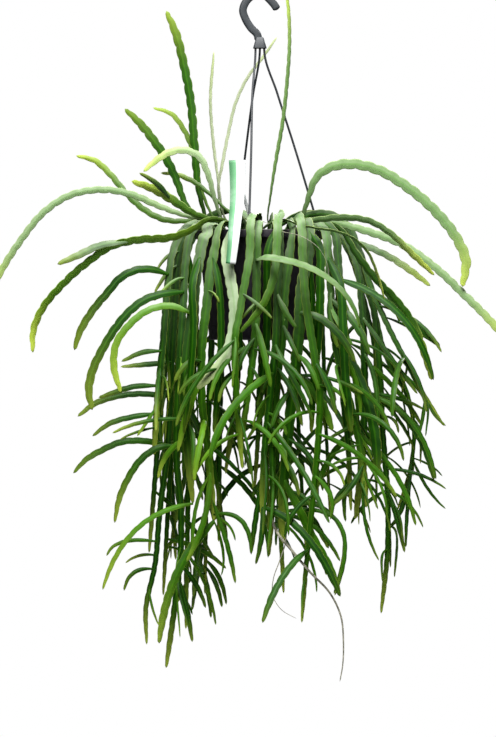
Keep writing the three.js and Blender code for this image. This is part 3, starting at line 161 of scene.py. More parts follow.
# Stems by group: width, root on the soil, number of ruled shoots, then the line each grows along
STEMS = {
    "upright": [
        (9.5, (-45, 10), 0, [(-58, 13, -260), (-69, 15, -228), (-75, 16, -175), (-80, 18, -117),
            (-88, 19, -75), (-97, 20, -40), (-108, 22, -14)]),
        (6, (-37, 27), 0, [(-52, 32, -255), (-69, 38, -216), (-79, 44, -170), (-88, 47, -150),
            (-103, 49, -131), (-124, 52, -124)]),
        (9.5, (-45, -10), 0, [(-62, -11, -262), (-84, -10, -240), (-96, -9, -210), (-107, -9, -187),
            (-122, -10, -165), (-140, -10, -143), (-155, -11, -129)]),
        (3.5, (-29, 9), 0, [(-38, 12, -262), (-44, 14, -238), (-49, 16, -203), (-54, 18, -163),
            (-57, 18, -120), (-53, 18, -61)]),
        (3.8, (-18, 24), 0, [(-38, 30, -256), (-48, 34, -222), (-43, 38, -188), (-36, 41, -152),
            (-28, 43, -119), (-14, 45, -89), (4, 47, -65), (20, 49, -42)]),
        (4.5, (12, 0), 0, [(9, -4, -256), (12, -7, -230), (18, -9, -190), (26, -11, -145), (31, -12, -100),
            (34, -13, -48), (32, -13, -8), (29, -13, 12)]),
    ],
    "arch_left": [
        (8, (-29, -9), 0, [(-42, -13, -258), (-52, -16, -232), (-60, -19, -203), (-70, -21, -184),
            (-86, -24, -177), (-104, -27, -180), (-120, -30, -190), (-133, -33, -202)]),
        (7.5, (-37, -27), 0, [(-52, -29, -259), (-82, -30, -253), (-116, -32, -241), (-144, -36, -229),
            (-180, -42, -223), (-215, -47, -229), (-246, -52, -249), (-272, -55, -281), (-296, -58, -319),
            (-311, -60, -350)]),
        (7, (-23, 40), 0, [(-46, 41, -254), (-80, 38, -256), (-112, 36, -254), (-139, 36, -239),
            (-158, 38, -220), (-174, 40, -201), (-191, 42, -186), (-213, 44, -180)]),
        (10, (-18, -24), 0, [(-34, -34, -262), (-56, -40, -258), (-78, -44, -249), (-98, -49, -236),
            (-120, -54, -223), (-146, -58, -214)]),
        (6, (-12, 0), 0, [(-22, 1, -260), (-40, 2, -243), (-60, 3, -224), (-78, 3, -211), (-95, 2, -204),
            (-114, 0, -202)]),
        (10.5, (-23, -40), 0, [(-40, -52, -260), (-66, -62, -265), (-100, -67, -278), (-138, -70, -281),
            (-168, -72, -288), (-196, -74, -307), (-225, -76, -333), (-247, -78, -360), (-257, -79, -386),
            (-257, -80, -409)]),
    ],
    "arch_right": [
        (11, (42, -19), 0, [(48, -20, -256), (56, -22, -230), (65, -24, -208), (80, -26, -197),
            (104, -28, -193), (133, -29, -199), (169, -31, -220), (204, -33, -251), (224, -34, -277),
            (235, -35, -303), (231, -36, -334)]),
        (8, (0, -12), 0, [(10, -26, -263), (34, -40, -261), (62, -48, -258), (96, -53, -255),
            (124, -56, -259), (148, -59, -273), (172, -62, -296), (198, -64, -321)]),
        (8.5, (29, -9), 0, [(40, -5, -260), (60, -3, -256), (88, -5, -260), (125, -12, -270),
            (165, -20, -286), (200, -27, -311), (235, -33, -344), (267, -38, -377), (288, -40, -402)]),
        (8, (14, -44), 0, [(20, -58, -260), (38, -76, -261), (62, -86, -268), (86, -87, -272),
            (106, -84, -280), (121, -81, -294), (132, -79, -318), (141, -77, -349)]),
        (9, (42, 19), 0, [(58, 29, -260), (80, 37, -264), (102, 40, -278), (126, 42, -286), (148, 44, -296),
            (172, 45, -311), (198, 46, -331)]),
        (9.5, (46, 0), 0, [(64, -8, -259), (88, -18, -264), (112, -26, -298), (133, -31, -325),
            (154, -34, -347), (174, -36, -374), (188, -38, -410), (196, -39, -440)]),
    ],
    "trail_left": [
        (9.5, (-60, -16), 1, [(-72, -19, -260), (-87, -24, -268), (-99, -28, -292), (-105, -31, -328),
            (-111, -34, -400), (-117, -35, -460), (-121, -36, -526)]),
        (9, (-62, 0), 2, [(-75, 0, -259), (-87, 0, -270), (-94, 1, -300), (-97, 2, -350), (-102, 2, -430),
            (-106, 1, -520), (-115, 0, -590), (-121, -1, -655), (-131, -2, -702), (-130, -3, -744)]),
        (9, (-54, -31), 2, [(-65, -37, -260), (-77, -45, -270), (-84, -50, -300), (-87, -52, -350),
            (-93, -52, -450), (-95, -50, -530), (-90, -48, -590), (-91, -48, -645), (-98, -48, -704),
            (-107, -48, -768)]),
        (13, (-44, -44), 1, [(-52, -53, -260), (-61, -64, -271), (-69, -72, -303), (-76, -76, -355),
            (-83, -76, -410), (-86, -75, -460), (-82, -72, -520), (-76, -70, -580)]),
        (12, (-31, -54), 1, [(-37, -64, -260), (-45, -76, -271), (-53, -83, -300), (-60, -86, -352),
            (-66, -84, -405), (-66, -80, -460), (-58, -76, -530), (-52, -74, -600)]),
    ],
    "trail_front": [
        (14, (-16, -60), 0, [(-24, -71, -256), (-33, -83, -265), (-38, -90, -298), (-33, -97, -328),
            (-29, -101, -358), (-33, -103, -396), (-44, -104, -421), (-58, -105, -437), (-71, -106, -450)]),
        (10.5, (0, -62), 1, [(-1, -73, -259), (-3, -84, -270), (-4, -90, -300), (-4, -92, -340),
            (-6, -90, -395), (-13, -86, -450), (-23, -82, -520)]),
        (10.5, (16, -60), 1, [(18, -71, -259), (21, -82, -270), (22, -88, -300), (20, -90, -345),
            (17, -90, -405), (11, -87, -460), (4, -84, -530), (2, -82, -600)]),
        (11, (31, -54), 1, [(34, -64, -258), (36, -76, -268), (33, -83, -300), (27, -84, -338),
            (26, -82, -385), (20, -78, -430), (14, -74, -500), (14, -72, -570), (10, -70, -640)]),
        (13.5, (44, -44), 2, [(51, -53, -259), (56, -64, -270), (54, -73, -300), (47, -80, -335),
            (44, -83, -385), (38, -82, -440), (32, -80, -500), (27, -78, -560), (26, -76, -625)]),
    ],
    "trail_right": [
        (10.5, (54, -31), 1, [(63, -36, -259), (73, -44, -268), (77, -52, -300), (81, -56, -345),
            (85, -58, -395), (95, -58, -440), (106, -58, -480), (116, -57, -530), (121, -56, -585)]),
        (10, (60, -16), 1, [(71, -20, -259), (84, -25, -269), (89, -28, -300), (90, -30, -375),
            (94, -31, -450), (101, -32, -520), (104, -33, -590)]),
        (11, (62, 0), 2, [(75, 1, -258), (93, 2, -265), (109, 3, -295), (117, 4, -350), (120, 4, -410),
            (120, 4, -480), (117, 3, -540), (110, 2, -600)]),
        (9, (60, 16), 1, [(73, 13, -258), (94, 18, -266), (113, 24, -295), (129, 27, -345), (138, 27, -420),
            (142, 26, -500), (148, 25, -580), (147, 24, -645), (140, 24, -710)]),
        (9, (54, 31), 2, [(66, 40, -258), (85, 48, -265), (107, 54, -296), (130, 56, -350), (148, 56, -415),
            (167, 56, -447), (179, 56, -492), (175, 56, -543), (160, 56, -592)]),
    ],
    "trail_back": [
        (9, (44, 44), 2, [(52, 52, -258), (62, 62, -267), (69, 69, -300), (73, 71, -370), (76, 71, -460),
            (82, 71, -600)]),
        (10, (31, 54), 2, [(36, 64, -258), (42, 76, -267), (46, 83, -300), (47, 85, -370), (45, 85, -470),
            (54, 84, -640)]),
        (9, (16, 60), 2, [(18, 71, -258), (21, 83, -267), (23, 89, -300), (24, 91, -380), (20, 90, -480),
            (28, 88, -690)]),
        (9, (0, 62), 2, [(0, 73, -258), (0, 85, -267), (0, 92, -300), (2, 93, -380), (0, 92, -470),
            (-6, 90, -570)]),
        (10, (-16, 60), 2, [(-18, 73, -257), (-20, 85, -266), (-23, 91, -300), (-24, 92, -380),
            (-28, 90, -460), (-40, 88, -550)]),
        (9, (-31, 54), 2, [(-40, 62, -258), (-49, 72, -267), (-54, 78, -300), (-56, 80, -390),
            (-60, 78, -490), (-64, 74, -690)]),
        (10, (-44, 44), 3, [(-53, 52, -258), (-64, 61, -267), (-71, 66, -300), (-75, 67, -390),
            (-81, 64, -500), (-86, 58, -730)]),
        (9, (-54, 31), 2, [(-66, 38, -258), (-79, 45, -267), (-87, 49, -300), (-93, 50, -390),
            (-101, 46, -500), (-112, 40, -690)]),
        (9, (-60, 16), 2, [(-73, 20, -258), (-86, 24, -267), (-96, 27, -300), (-105, 28, -380),
            (-113, 27, -460), (-128, 24, -640)]),
    ],
    "outer": [
        (10, (0, -30), 1, [(-2, -46, -256), (-6, -70, -252), (-10, -94, -258), (-12, -106, -300),
            (-20, -110, -346), (-28, -111, -400), (-26, -108, -465), (-20, -104, -540)]),
        (11.5, (18, -24), 0, [(20, -46, -257), (21, -72, -254), (20, -98, -262), (18, -110, -300),
            (13, -115, -332), (0, -115, -360), (-13, -113, -376), (-24, -111, -387)]),
        (10.5, (31, -34), 2, [(37, -52, -258), (43, -74, -256), (47, -94, -270), (48, -101, -305),
            (52, -103, -355), (60, -102, -405), (67, -100, -450), (66, -98, -500), (60, -95, -570),
            (52, -92, -650), (47, -90, -714)]),
        (9, (31, 34), 2, [(42, 50, -252), (58, 68, -250), (74, 84, -268), (86, 90, -310), (101, 91, -380),
            (113, 90, -460), (116, 87, -610)]),
        (9, (14, 44), 2, [(14, 62, -252), (13, 88, -250), (12, 106, -272), (10, 111, -330), (8, 110, -430),
            (10, 106, -600)]),
        (9, (-5, 46), 2, [(-10, 64, -252), (-18, 87, -250), (-29, 104, -272), (-37, 108, -330),
            (-45, 105, -430), (-48, 96, -630)]),
        (9.5, (29, 9), 2, [(50, 5, -253), (76, 3, -250), (98, 4, -263), (114, 6, -294), (130, 8, -338),
            (149, 9, -381), (166, 9, -414), (183, 9, -447), (212, 9, -493)]),
        (8.5, (18, 24), 3, [(38, 38, -252), (62, 52, -247), (86, 60, -259), (104, 64, -292),
            (121, 65, -345), (134, 64, -405), (140, 62, -470)]),
        (9, (0, 30), 3, [(-14, 42, -250), (-38, 60, -243), (-66, 74, -256), (-88, 80, -300),
            (-99, 81, -370), (-105, 78, -460), (-98, 72, -650)]),
    ],
}

# Side shoots listed one by one: the stem that bears each, its width, and its line from that stem
SET_SHOOTS = [
    ("arch_left_4", 7, [(-100, -49, -235), (-112, -58, -222), (-124, -64, -212), (-137, -66, -205)]),
    ("arch_left_6", 9, [(-148, -71, -283), (-182, -80, -288), (-206, -84, -299), (-229, -86, -309)]),
    ("trail_left_1", 9, [(-104, -31, -318), (-122, -40, -314), (-142, -46, -315), (-158, -49, -323),
        (-174, -51, -341), (-192, -53, -363), (-206, -55, -388), (-211, -56, -406)]),
    ("trail_left_3", 9.5, [(-87, -51, -341), (-110, -62, -342), (-131, -66, -349), (-149, -69, -363),
        (-164, -71, -381), (-178, -73, -404), (-190, -75, -430), (-194, -76, -452), (-190, -77, -474)]),
    ("trail_left_4", 8, [(-77, -76, -362), (-102, -88, -356), (-128, -92, -362), (-148, -94, -378),
        (-162, -95, -398), (-165, -96, -424), (-157, -97, -454)]),
    ("trail_left_1", 7, [(-112, -34, -408), (-132, -38, -408), (-158, -42, -419)]),
    ("trail_left_2", 7, [(-101, 2, -418), (-128, -2, -422), (-160, -5, -425)]),
    ("trail_left_1", 7, [(-116, -35, -443), (-140, -40, -447), (-184, -44, -460)]),
    ("trail_left_2", 7.5, [(-104, 1, -461), (-135, -4, -456), (-165, -8, -459), (-189, -10, -467),
        (-209, -12, -482)]),
    ("trail_left_1", 7, [(-119, -35, -481), (-145, -39, -482), (-172, -42, -490), (-191, -43, -504)]),
    ("trail_left_2", 8, [(-106, 1, -516), (-134, -6, -510), (-158, -10, -511), (-182, -12, -521),
        (-199, -13, -531), (-214, -14, -547)]),
    ("trail_left_3", 8, [(-95, -50, -514), (-116, -58, -517), (-134, -62, -529), (-149, -64, -550),
        (-160, -65, -575), (-165, -66, -602)]),
    ("trail_front_2", 10, [(-4, -90, -304), (8, -118, -302), (20, -128, -304), (42, -130, -309),
        (64, -128, -318), (83, -126, -331), (98, -124, -347), (108, -122, -366), (112, -122, -382)]),
    ("trail_right_1", 8.5, [(81, -56, -351), (100, -68, -366), (114, -74, -386), (124, -77, -412)]),
    ("outer_7", 8, [(130, 8, -338), (154, 3, -358), (186, -2, -382), (207, -4, -402)]),
    ("trail_front_5", 8.5, [(45, -82, -362), (66, -92, -369), (84, -95, -383), (98, -97, -401),
        (107, -98, -420)]),
    ("trail_right_4", 8.5, [(140, 27, -456), (160, 20, -474), (177, 16, -495), (191, 14, -520),
        (201, 13, -555)]),
    ("trail_front_5", 9, [(28, -79, -556), (46, -88, -590), (62, -91, -622), (78, -92, -650),
        (91, -93, -684)]),
    ("trail_front_3", 9.5, [(20, -80, -270), (10, -97, -290), (8, -103, -330), (8, -103, -380),
        (4, -99, -430), (-4, -95, -480)]),
    ("trail_front_5", 10.5, [(56, -64, -270), (67, -80, -290), (68, -88, -330), (66, -90, -390),
        (60, -90, -450), (58, -88, -500)]),
    ("trail_left_4", 9.5, [(-69, -72, -303), (-76, -90, -330), (-75, -97, -380), (-79, -99, -440),
        (-86, -99, -500)]),
    ("trail_right_1", 10, [(77, -52, -300), (90, -68, -330), (94, -76, -380), (97, -78, -440),
        (103, -80, -500)]),
    ("trail_front_4", 5.5, [(14, -73, -588), (40, -62, -580), (68, -58, -584), (88, -57, -602),
        (97, -57, -630), (91, -57, -658), (84, -57, -683)]),
    ("trail_left_5", 8, [(-53, -83, -300), (-47, -92, -330), (-44, -93, -380), (-47, -90, -440),
        (-52, -86, -500)]),
]

# Curling side shoots as seen from the front: stem, width, the height where it leaves, the corner that it
# bends round and its end, both (x, z), and how far it moves in depth
CURLS = [
    ("trail_left_4", 6.5, -580, (-154, -590), (-178, -677), -14),
    ("trail_left_2", 5, -622, (-168, -618), (-176, -642), -10),
    ("trail_left_2", 5.5, -654, (-151, -653), (-156, -682), -8),
    ("trail_left_5", 9.5, -600, (-105, -649), (-114, -737), -22),
    ("trail_left_5", 6.5, -543, (-56, -597), (-83, -645), -16),
    ("trail_left_3", 6.5, -666, (-83, -695), (-77, -738), -6),
    ("trail_left_3", 6, -649, (-69, -672), (-62, -700), 8),
    ("trail_back_6", 6, -658, (-48, -675), (-44, -705), -12),
    ("trail_back_6", 6, -650, (-43, -668), (-39, -703), 10),
    ("trail_left_5", 5.5, -578, (-33, -631), (-28, -670), -6),
    ("trail_left_5", 5.5, -590, (-10, -584), (-10, -637), -16),
    ("trail_front_3", 6.5, -554, (-6, -597), (-10, -636), 6),
    ("trail_front_3", 6.5, -580, (5, -614), (-5, -648), -8),
    ("trail_front_3", 8, -581, (55, -595), (90, -683), -14),
    ("trail_front_4", 4.5, -592, (128, -563), (84, -683), -26),
    ("trail_front_4", 5.5, -596, (64, -589), (91, -646), -8),
    ("outer_3", 6, -545, (89, -570), (79, -597), -6),
    ("trail_right_2", 6, -554, (85, -572), (78, -597), -10),
    ("trail_right_2", 5.5, -545, (93, -574), (98, -602), 4),
    ("trail_right_4", 5, -565, (118, -580), (105, -606), -12),
    ("trail_right_1", 4, -557, (112, -603), (135, -645), -8),
    ("trail_right_4", 6, -568, (159, -597), (167, -639), -10),
    ("trail_right_5", 6, -554, (168, -597), (149, -613), -12),
    ("trail_right_4", 4, -564, (178, -580), (189, -611), 6),
    ("trail_right_5", 4, -528, (192, -570), (216, -590), -6),
    ("trail_right_4", 4.5, -547, (185, -543), (215, -566), -10),
    ("trail_left_4", 5, -483, (-131, -481), (-167, -500), -10),
    ("trail_left_5", 8.5, -436, (-86, -482), (-93, -521), -16),
    ("trail_left_5", 7, -375, (-72, -390), (-80, -416), -14),
    ("trail_front_1", 6, -430, (-79, -432), (-92, -457), -12),
    ("trail_front_3", 8, -432, (-48, -470), (-56, -529), -24),
    ("trail_front_4", 7, -370, (29, -442), (-15, -508), -18),
    ("trail_front_2", 7, -378, (4, -404), (12, -448), -22),
    ("trail_front_3", 7, -340, (25, -359), (41, -382), -12),
    ("trail_front_4", 6, -375, (33, -393), (45, -420), -10),
    ("trail_right_1", 7, -338, (75, -370), (89, -404), -12),
    ("trail_right_2", 9, -321, (176, -350), (197, -440), -10),
    ("trail_right_3", 6.5, -370, (153, -419), (181, -456), -12),
    ("trail_right_3", 6, -458, (185, -470), (202, -554), -18),
    ("trail_right_3", 5.5, -457, (156, -455), (191, -475), 6),
    ("trail_right_2", 12, -401, (137, -470), (133, -548), -26),
    ("trail_right_1", 6.5, -540, (105, -565), (81, -582), -16),
]

chance_state = SEED


def chance():
    """Next repeatable number from 0 to 1: the state times 16807, kept below 2147483647."""
    global chance_state
    chance_state = chance_state * 16807 % 2147483647
    return chance_state / 2147483647


def between(low, high):
    return low + (high - low) * chance()


def smooth_step(share):
    """3 s^2 - 2 s^3 of a share kept between 0 and 1."""
    s = np.clip(share, 0, 1)
    return s * s * (3 - 2 * s)


def ball_end(share):
    """Quarter circle (1 - (1 - s)^2)^0.5 of a share kept between 0 and 1: how a rounded end fills out."""
    return np.sqrt(np.clip(1 - (1 - np.clip(share, 0, 1)) ** 2, 0, 1))


def unit(vectors):
    """Vectors scaled to length one along their last axis."""
    vectors = np.asarray(vectors, float)
    return vectors / np.linalg.norm(vectors, axis=-1, keepdims=True)


def running_lengths(line):
    return np.concatenate(([0.0], np.cumsum(np.linalg.norm(np.diff(line, axis=0), axis=1))))


def values_at(places, lengths, values):
    """Each column of values read off at places along the running lengths, straight in between."""
    return np.stack([np.interp(places, lengths, column) for column in values.T], axis=1)


def points_at(line, places):
    return values_at(places, running_lengths(line), line)


def tangents_of(line):
    """Directions along a line: each from the point before to the point after."""
    padded = np.concatenate((line[:1], line, line[-1:]))
    return unit(padded[2:] - padded[:-2])


def even_places(total, step):
    count = max(2, math.floor(total / step + 0.5))
    return total * np.arange(count + 1) / count


def smooth_line(points, step):
    """Cubic pieces through points, each slope the mean of the two chords weighted by the other's span."""
    points = np.asarray(points, float)
    spans = np.linalg.norm(np.diff(points, axis=0), axis=1)
    chords = np.diff(points, axis=0) / spans[:, None]
    slopes = np.empty_like(points)
    slopes[0], slopes[-1] = chords[0], chords[-1]
    before, after = spans[:-1, None], spans[1:, None]
    slopes[1:-1] = (chords[:-1] * after + chords[1:] * before) / (before + after)
    pieces = 12
    t = (np.arange(1, pieces + 1) / pieces)[None, :, None]
    span = spans[:, None, None]
    cubic = (points[:-1, None] * (2 * t**3 - 3 * t**2 + 1)
             + points[1:, None] * (-2 * t**3 + 3 * t**2)
             + slopes[:-1, None] * (t**3 - 2 * t**2 + t) * span
             + slopes[1:, None] * (t**3 - t**2) * span)
    line = np.concatenate((points[:1], cubic.reshape(-1, 3)))
    return points_at(line, even_places(running_lengths(line)[-1], step))


def half_width(blade, place, total):
    """Half a blade's width: narrow at its root, full after the taper, then a root curve down to its tip.

    A trailing stem also narrows evenly downwards, by the share NARROWING (place / total)^NARROWING_POWER.
    """
    grown = (place - ROOT_DEPTH) / blade["root_taper"] if "root_taper" in blade else place / SHOOT_TAPER
    narrower = 1 - blade.get("narrowing", 0) * (place / total) ** NARROWING_POWER
    root = ROOT_NARROWING + (1 - ROOT_NARROWING) * smooth_step(grown)
    to_tip = np.clip((total - place) / TIP_TAPER, 0, 1)
    tip = TIP_WIDTH_SHARE + (1 - TIP_WIDTH_SHARE) * np.sqrt(to_tip)
    return 0.5 * blade["width"] * root * tip * narrower


def turned(vectors, axes, angles):
    """Vectors turned about unit axes: v cos a + (axis x v) sin a + axis (axis . v)(1 - cos a)."""
    cos, sin = np.cos(angles)[..., None], np.sin(angles)[..., None]
    along = np.sum(axes * vectors, axis=-1, keepdims=True)
    return vectors * cos + np.cross(axes, vectors) * sin + axes * along * (1 - cos)


def frames_along(line, first_normal, twist, facing=None):
    """Tangents, normals and across directions along a line.

    The normal is carried along, drawn to the facing past the rim if there is one, and turned by the twist.
    """
    lengths = running_lengths(line)
    tangents = tangents_of(line)
    normals = np.empty_like(line)
    normal = np.asarray(first_normal, float)
    for k, tangent in enumerate(tangents):
        normal = unit(normal - normal.dot(tangent) * tangent)
        normals[k] = normal
    if facing is not None:
        wanted = unit(facing - (tangents @ facing)[:, None] * tangents)
        drawn = smooth_step((lengths - FACING_START) / FACING_TAPER)[:, None]
        normals = unit(normals + (wanted - normals) * drawn)
    normals = turned(normals, tangents, twist * smooth_step((lengths - TWIST_START) / lengths[-1]))
    return tangents, normals, np.cross(normals, tangents)


# Hanger strands: socket in the block, a bend or two, foot on the rim
STRANDS = [
    ("strand_right", (5, 0), 18, [(20, 5, -110), (40, 11, -172)]),
    ("strand_back", (0, 2.6), 112.5, [(-8, 17, -112), (-17, 42, -180)]),
    ("strand_front", (-5, -1.5), -100, [(-8.5, -17, -110), (-10, -42, -180)]),
]
FOOT_RADIUS = RIM_RADIUS - SKIRT_REACH / 2
STRAND_FOOT_TOP = RIM_TOP + CLEARANCE + FOOT_HEIGHT


def strand_line(top, foot, bends):
    """A strand's line from its socket in the block, straight down at first, to its foot on the rim."""
    angle = math.radians(foot)
    socket = [(*top, BLOCK_BASE + SOCKET_DEPTH - CLEARANCE), (*top, BLOCK_BASE - STRAND_STRAIGHT)]
    end = (FOOT_RADIUS * math.cos(angle), FOOT_RADIUS * math.sin(angle), STRAND_FOOT_TOP - STRAND_SINK)
    return smooth_line([*socket, *bends, end], SAMPLE_STEP)


# The label's broad panel hangs over the rim in front; its leg goes back into the soil
LABEL_PANEL = [(-26, -52, -190), (-25.5, -58, -212), (-26, -68, -236), (-28, -85, -257),
               (-30, -100, -281), (-33, -108, -309)]
LABEL_FACING = (0, -1, 0.2)
LABEL_LEG = [(-20, -63.8, -226), (-14, -59, -246), (-9, -54, -266), (*LABEL_LEG_ROOT, COLLAR_HIGH),
             (*LABEL_LEG_ROOT, COLLAR_LOW), (*LABEL_LEG_ROOT, SOIL_TOP - ROOT_DEPTH)]


def clear_of_pot(points, reaches):
    """Points moved out of the pot's wall and rim so that they keep their distance from it."""
    points = points.copy()
    x, y, z = points.T
    radial = np.hypot(x, y)
    near = ~((z > RIM_TOP + reaches) | (z < POT_BOTTOM - reaches) | (radial < BASE_RADIUS - WELL_INSIDE))
    on_rim = near & (z > RIM_TOP) & (radial < RIM_RADIUS + reaches)
    on_rim &= radial > RIM_INSIDE - reaches
    share = (z - POT_BOTTOM) / POT_HEIGHT
    wall = BASE_RADIUS + (RIM_INSIDE + POT_WALL - BASE_RADIUS) * share
    wanted = np.where(z > RIM_TOP - SKIRT_HEIGHT - reaches, RIM_RADIUS, wall) + reaches
    beside = near & (z <= RIM_TOP) & (radial < wanted)
    scale = np.where(beside, wanted / np.maximum(radial, 1e-9), 1)
    points[:, :2] *= scale[:, None]
    points[:, 2] = np.where(on_rim, RIM_TOP + reaches, z)
    return points


def grow_stems():
    """One record for each stem: its line from the soil, and the way its face looks at the root."""
    stems = []
    for group, members in STEMS.items():
        trailing = group.startswith("trail") or group == "outer"
        for index, (width, (x, y), shoots, route) in enumerate(members):
            root = [(x, y, z) for z in (SOIL_TOP - ROOT_DEPTH, COLLAR_LOW, COLLAR_HIGH)]
            outward = np.array([x, y, 0.0]) / max(math.hypot(x, y), 1e-9)
            hanging = np.array([0, -HANG_FORWARD, 0]) + (HANG_OUTWARD * outward if trailing else 0)
            aside = np.array(between(-FACING_SPREAD, FACING_SPREAD))
            hanging = unit(turned(hanging, np.array([0.0, 0, 1]), aside))
            normal = hanging - 2 * hanging.dot(outward) * outward if trailing else hanging
            stems.append({"name": f"{group}_{index + 1}", "width": width, "shoots": shoots,
                          "line": smooth_line(root + route, SAMPLE_STEP), "normal": normal,
                          "facing": hanging if trailing else None,
                          "root_taper": ROOT_TAPER if trailing else SLENDER_TAPER,
                          "narrowing": NARROWING if trailing else 0,
                          "twist": between(-TWIST_SPREAD, TWIST_SPREAD), "side_shoots": []})
    return stems


def fixed_lines():
    """Strands and label: what the stems keep clear of and never move."""
    lines = [(strand_line(*strand[1:]), STRAND_RADIUS) for strand in STRANDS]
    lines.append((smooth_line(LABEL_PANEL, SAMPLE_STEP), LABEL_REACH))
    lines.append((smooth_line(LABEL_LEG, SAMPLE_STEP), LABEL_LEG_WIDTH / 2))
    return lines


def stem_reaches(stem):
    lengths = running_lengths(stem["line"])
    return half_width(stem, lengths, lengths[-1])


def pushes_from(points, reaches, lines, line_reaches, starts, owner, share):
    """Push of every point away from the nearest sample of each line, as far as it stands too near it.

    The squares of the distances are |p|^2 + |q|^2 - 2 p.q, their least one in each line is looked at,
    and where that is too small the point moves along the line from that sample to it.
    """
    squared = np.sum(points**2, axis=1)[:, None] + np.sum(lines**2, axis=1)[None] - 2 * points @ lines.T
    least = np.minimum.reduceat(squared, starts, axis=1)
    rows, which = np.nonzero(least < (2 * WIDEST_REACH) ** 2)
    keep = owner[rows] != which
    rows, which = rows[keep], which[keep]
    ends = np.append(starts[1:], len(lines))
    nearest = np.array([starts[w] + squared[r, starts[w]:ends[w]].argmin()
                        for r, w in zip(rows, which)], int)
    offsets = points[rows] - lines[nearest]
    distance = np.linalg.norm(offsets, axis=1)
    lack = np.maximum(0, reaches[rows] + line_reaches[nearest] + STEM_GAP - distance)
    pushes = np.zeros_like(points)
    np.add.at(pushes, rows, offsets * (lack * share / np.maximum(distance, 0.01))[:, None])
    return pushes


def loosen(stems, fixed):
    """Rounds in which stems that come too near each other bend apart, mostly in depth."""
    counts = [len(stem["line"]) for stem in stems]
    edges = np.concatenate(([0], np.cumsum(counts)))
    owner = np.repeat(np.arange(len(stems)), counts)
    index = np.concatenate([np.arange(count) for count in counts])
    before = np.where(index == 0, 0, -1) + np.arange(edges[-1])
    after = np.where(index == np.repeat(counts, counts) - 1, 0, 1) + np.arange(edges[-1])
    freedom = smooth_step((index - HELD_SAMPLES) / HELD_EASE)[:, None] * np.array(FREEDOM)
    points = np.concatenate([stem["line"] for stem in stems])
    fixed_points = np.concatenate([line for line, _ in fixed])
    fixed_reaches = np.concatenate([np.full(len(line), reach) for line, reach in fixed])
    fixed_starts = np.cumsum([0] + [len(line) for line, _ in fixed[:-1]])
    for _ in range(RELAX_ROUNDS):
        for stem, low, high in zip(stems, edges[:-1], edges[1:]):
            stem["line"] = points[low:high]
        reaches = np.concatenate([stem_reaches(stem) for stem in stems])
        pushes = pushes_from(points, reaches, points, reaches, edges[:-1], owner, RELAX_SHARE)
        pushes += pushes_from(points, reaches, fixed_points, fixed_reaches, fixed_starts,
                              owner - len(stems), 1)
        smooth = (pushes[before] + pushes[after]) * 0.25 + pushes * 0.5
        moved = points + smooth * freedom
        cleared = clear_of_pot(moved, reaches + POT_MARGIN)
        points = np.where((index > HELD_SAMPLES)[:, None], cleared, moved)
    for stem, low, high in zip(stems, edges[:-1], edges[1:]):
        stem["line"] = points[low:high]


def outside_spread(points):
    """The plant is widest half way down, and its bottom edge has a gap left of the middle."""
    x, _, z = points.T
    below = np.maximum(0, SPREAD_LEVEL - z)
    bottom = np.where(x < SPREAD_BOTTOM_SPLIT, SPREAD_BOTTOM_LEFT, SPREAD_BOTTOM_RIGHT)
    in_gap = (x > SPREAD_GAP[0]) & (x < SPREAD_GAP[1]) & (z < SPREAD_GAP_TOP)
    return ((x < -SPREAD_LEFT + SPREAD_SLOPE_LEFT * below)
            | (x > SPREAD_RIGHT - SPREAD_SLOPE_RIGHT * below) | (z < bottom) | in_gap)


class Taken:
    """Every line that a new shoot has to stay clear of, with its owner, its reaches and its box."""

    def __init__(self):
        self.names, self.lows, self.highs = [], [], []
        self.points, self.reaches, self.owner = np.empty((0, 3)), np.empty(0), np.empty(0, int)

    def add(self, name, line, reaches, margin):
        self.owner = np.concatenate((self.owner, np.full(len(line), len(self.names))))
        self.names.append(name)
        self.lows.append(line.min(axis=0) - margin)
        self.highs.append(line.max(axis=0) + margin)
        self.points = np.concatenate((self.points, line))
        self.reaches = np.concatenate((self.reaches, reaches))

    def blocks(self, line, reach, parent, gap, ease):
        """For each point, whether a sample of another node is nearer than both reaches and the gap."""
        foreign = np.array([name != parent for name in self.names])
        lows, highs = np.array(self.lows), np.array(self.highs)
        inside = ((line[:, None] >= lows) & (line[:, None] <= highs)).all(axis=2)
        offsets = line[:, None] - self.points[None]
        near = np.einsum("ijk,ijk->ij", offsets, offsets) < (reach + ease * self.reaches + gap) ** 2
        return (near & (inside & foreign)[:, self.owner]).any(axis=1)


def clear_length(line, reach, parent, taken, gap, ease, is_outside):
    """How far a line stays clear of the pot and of other nodes, and inside what is_outside tells."""
    lengths = running_lengths(line)
    moved = clear_of_pot(line, np.full(len(line), reach + POT_MARGIN))
    blocked = np.linalg.norm(moved - line, axis=1) > MOVED_BY_POT
    blocked |= taken.blocks(line, reach, parent, gap, ease)
    if is_outside:
        blocked |= is_outside(line)
    return lengths[max(0, blocked.argmax() - 1)] if blocked.any() else lengths[-1]


def best_shoot(tries, width, parent, taken, is_outside=None, slim=0.5, gap=STEM_GAP, ease=1,
               shortest=SHOOT_MIN_LENGTH):
    """The first of several tries that is clear, or the longest clear stretch, or nothing if short."""
    best, best_length = None, 0
    for line in tries:
        clear = clear_length(line, slim * width, parent["name"], taken, gap, ease, is_outside)
        if clear > best_length + TIE_MARGIN:
            best, best_length = line, clear
        if clear >= running_lengths(line)[-1]:
            break
    if best is None or best_length < shortest:
        return None
    return points_at(best, even_places(best_length, SAMPLE_STEP))


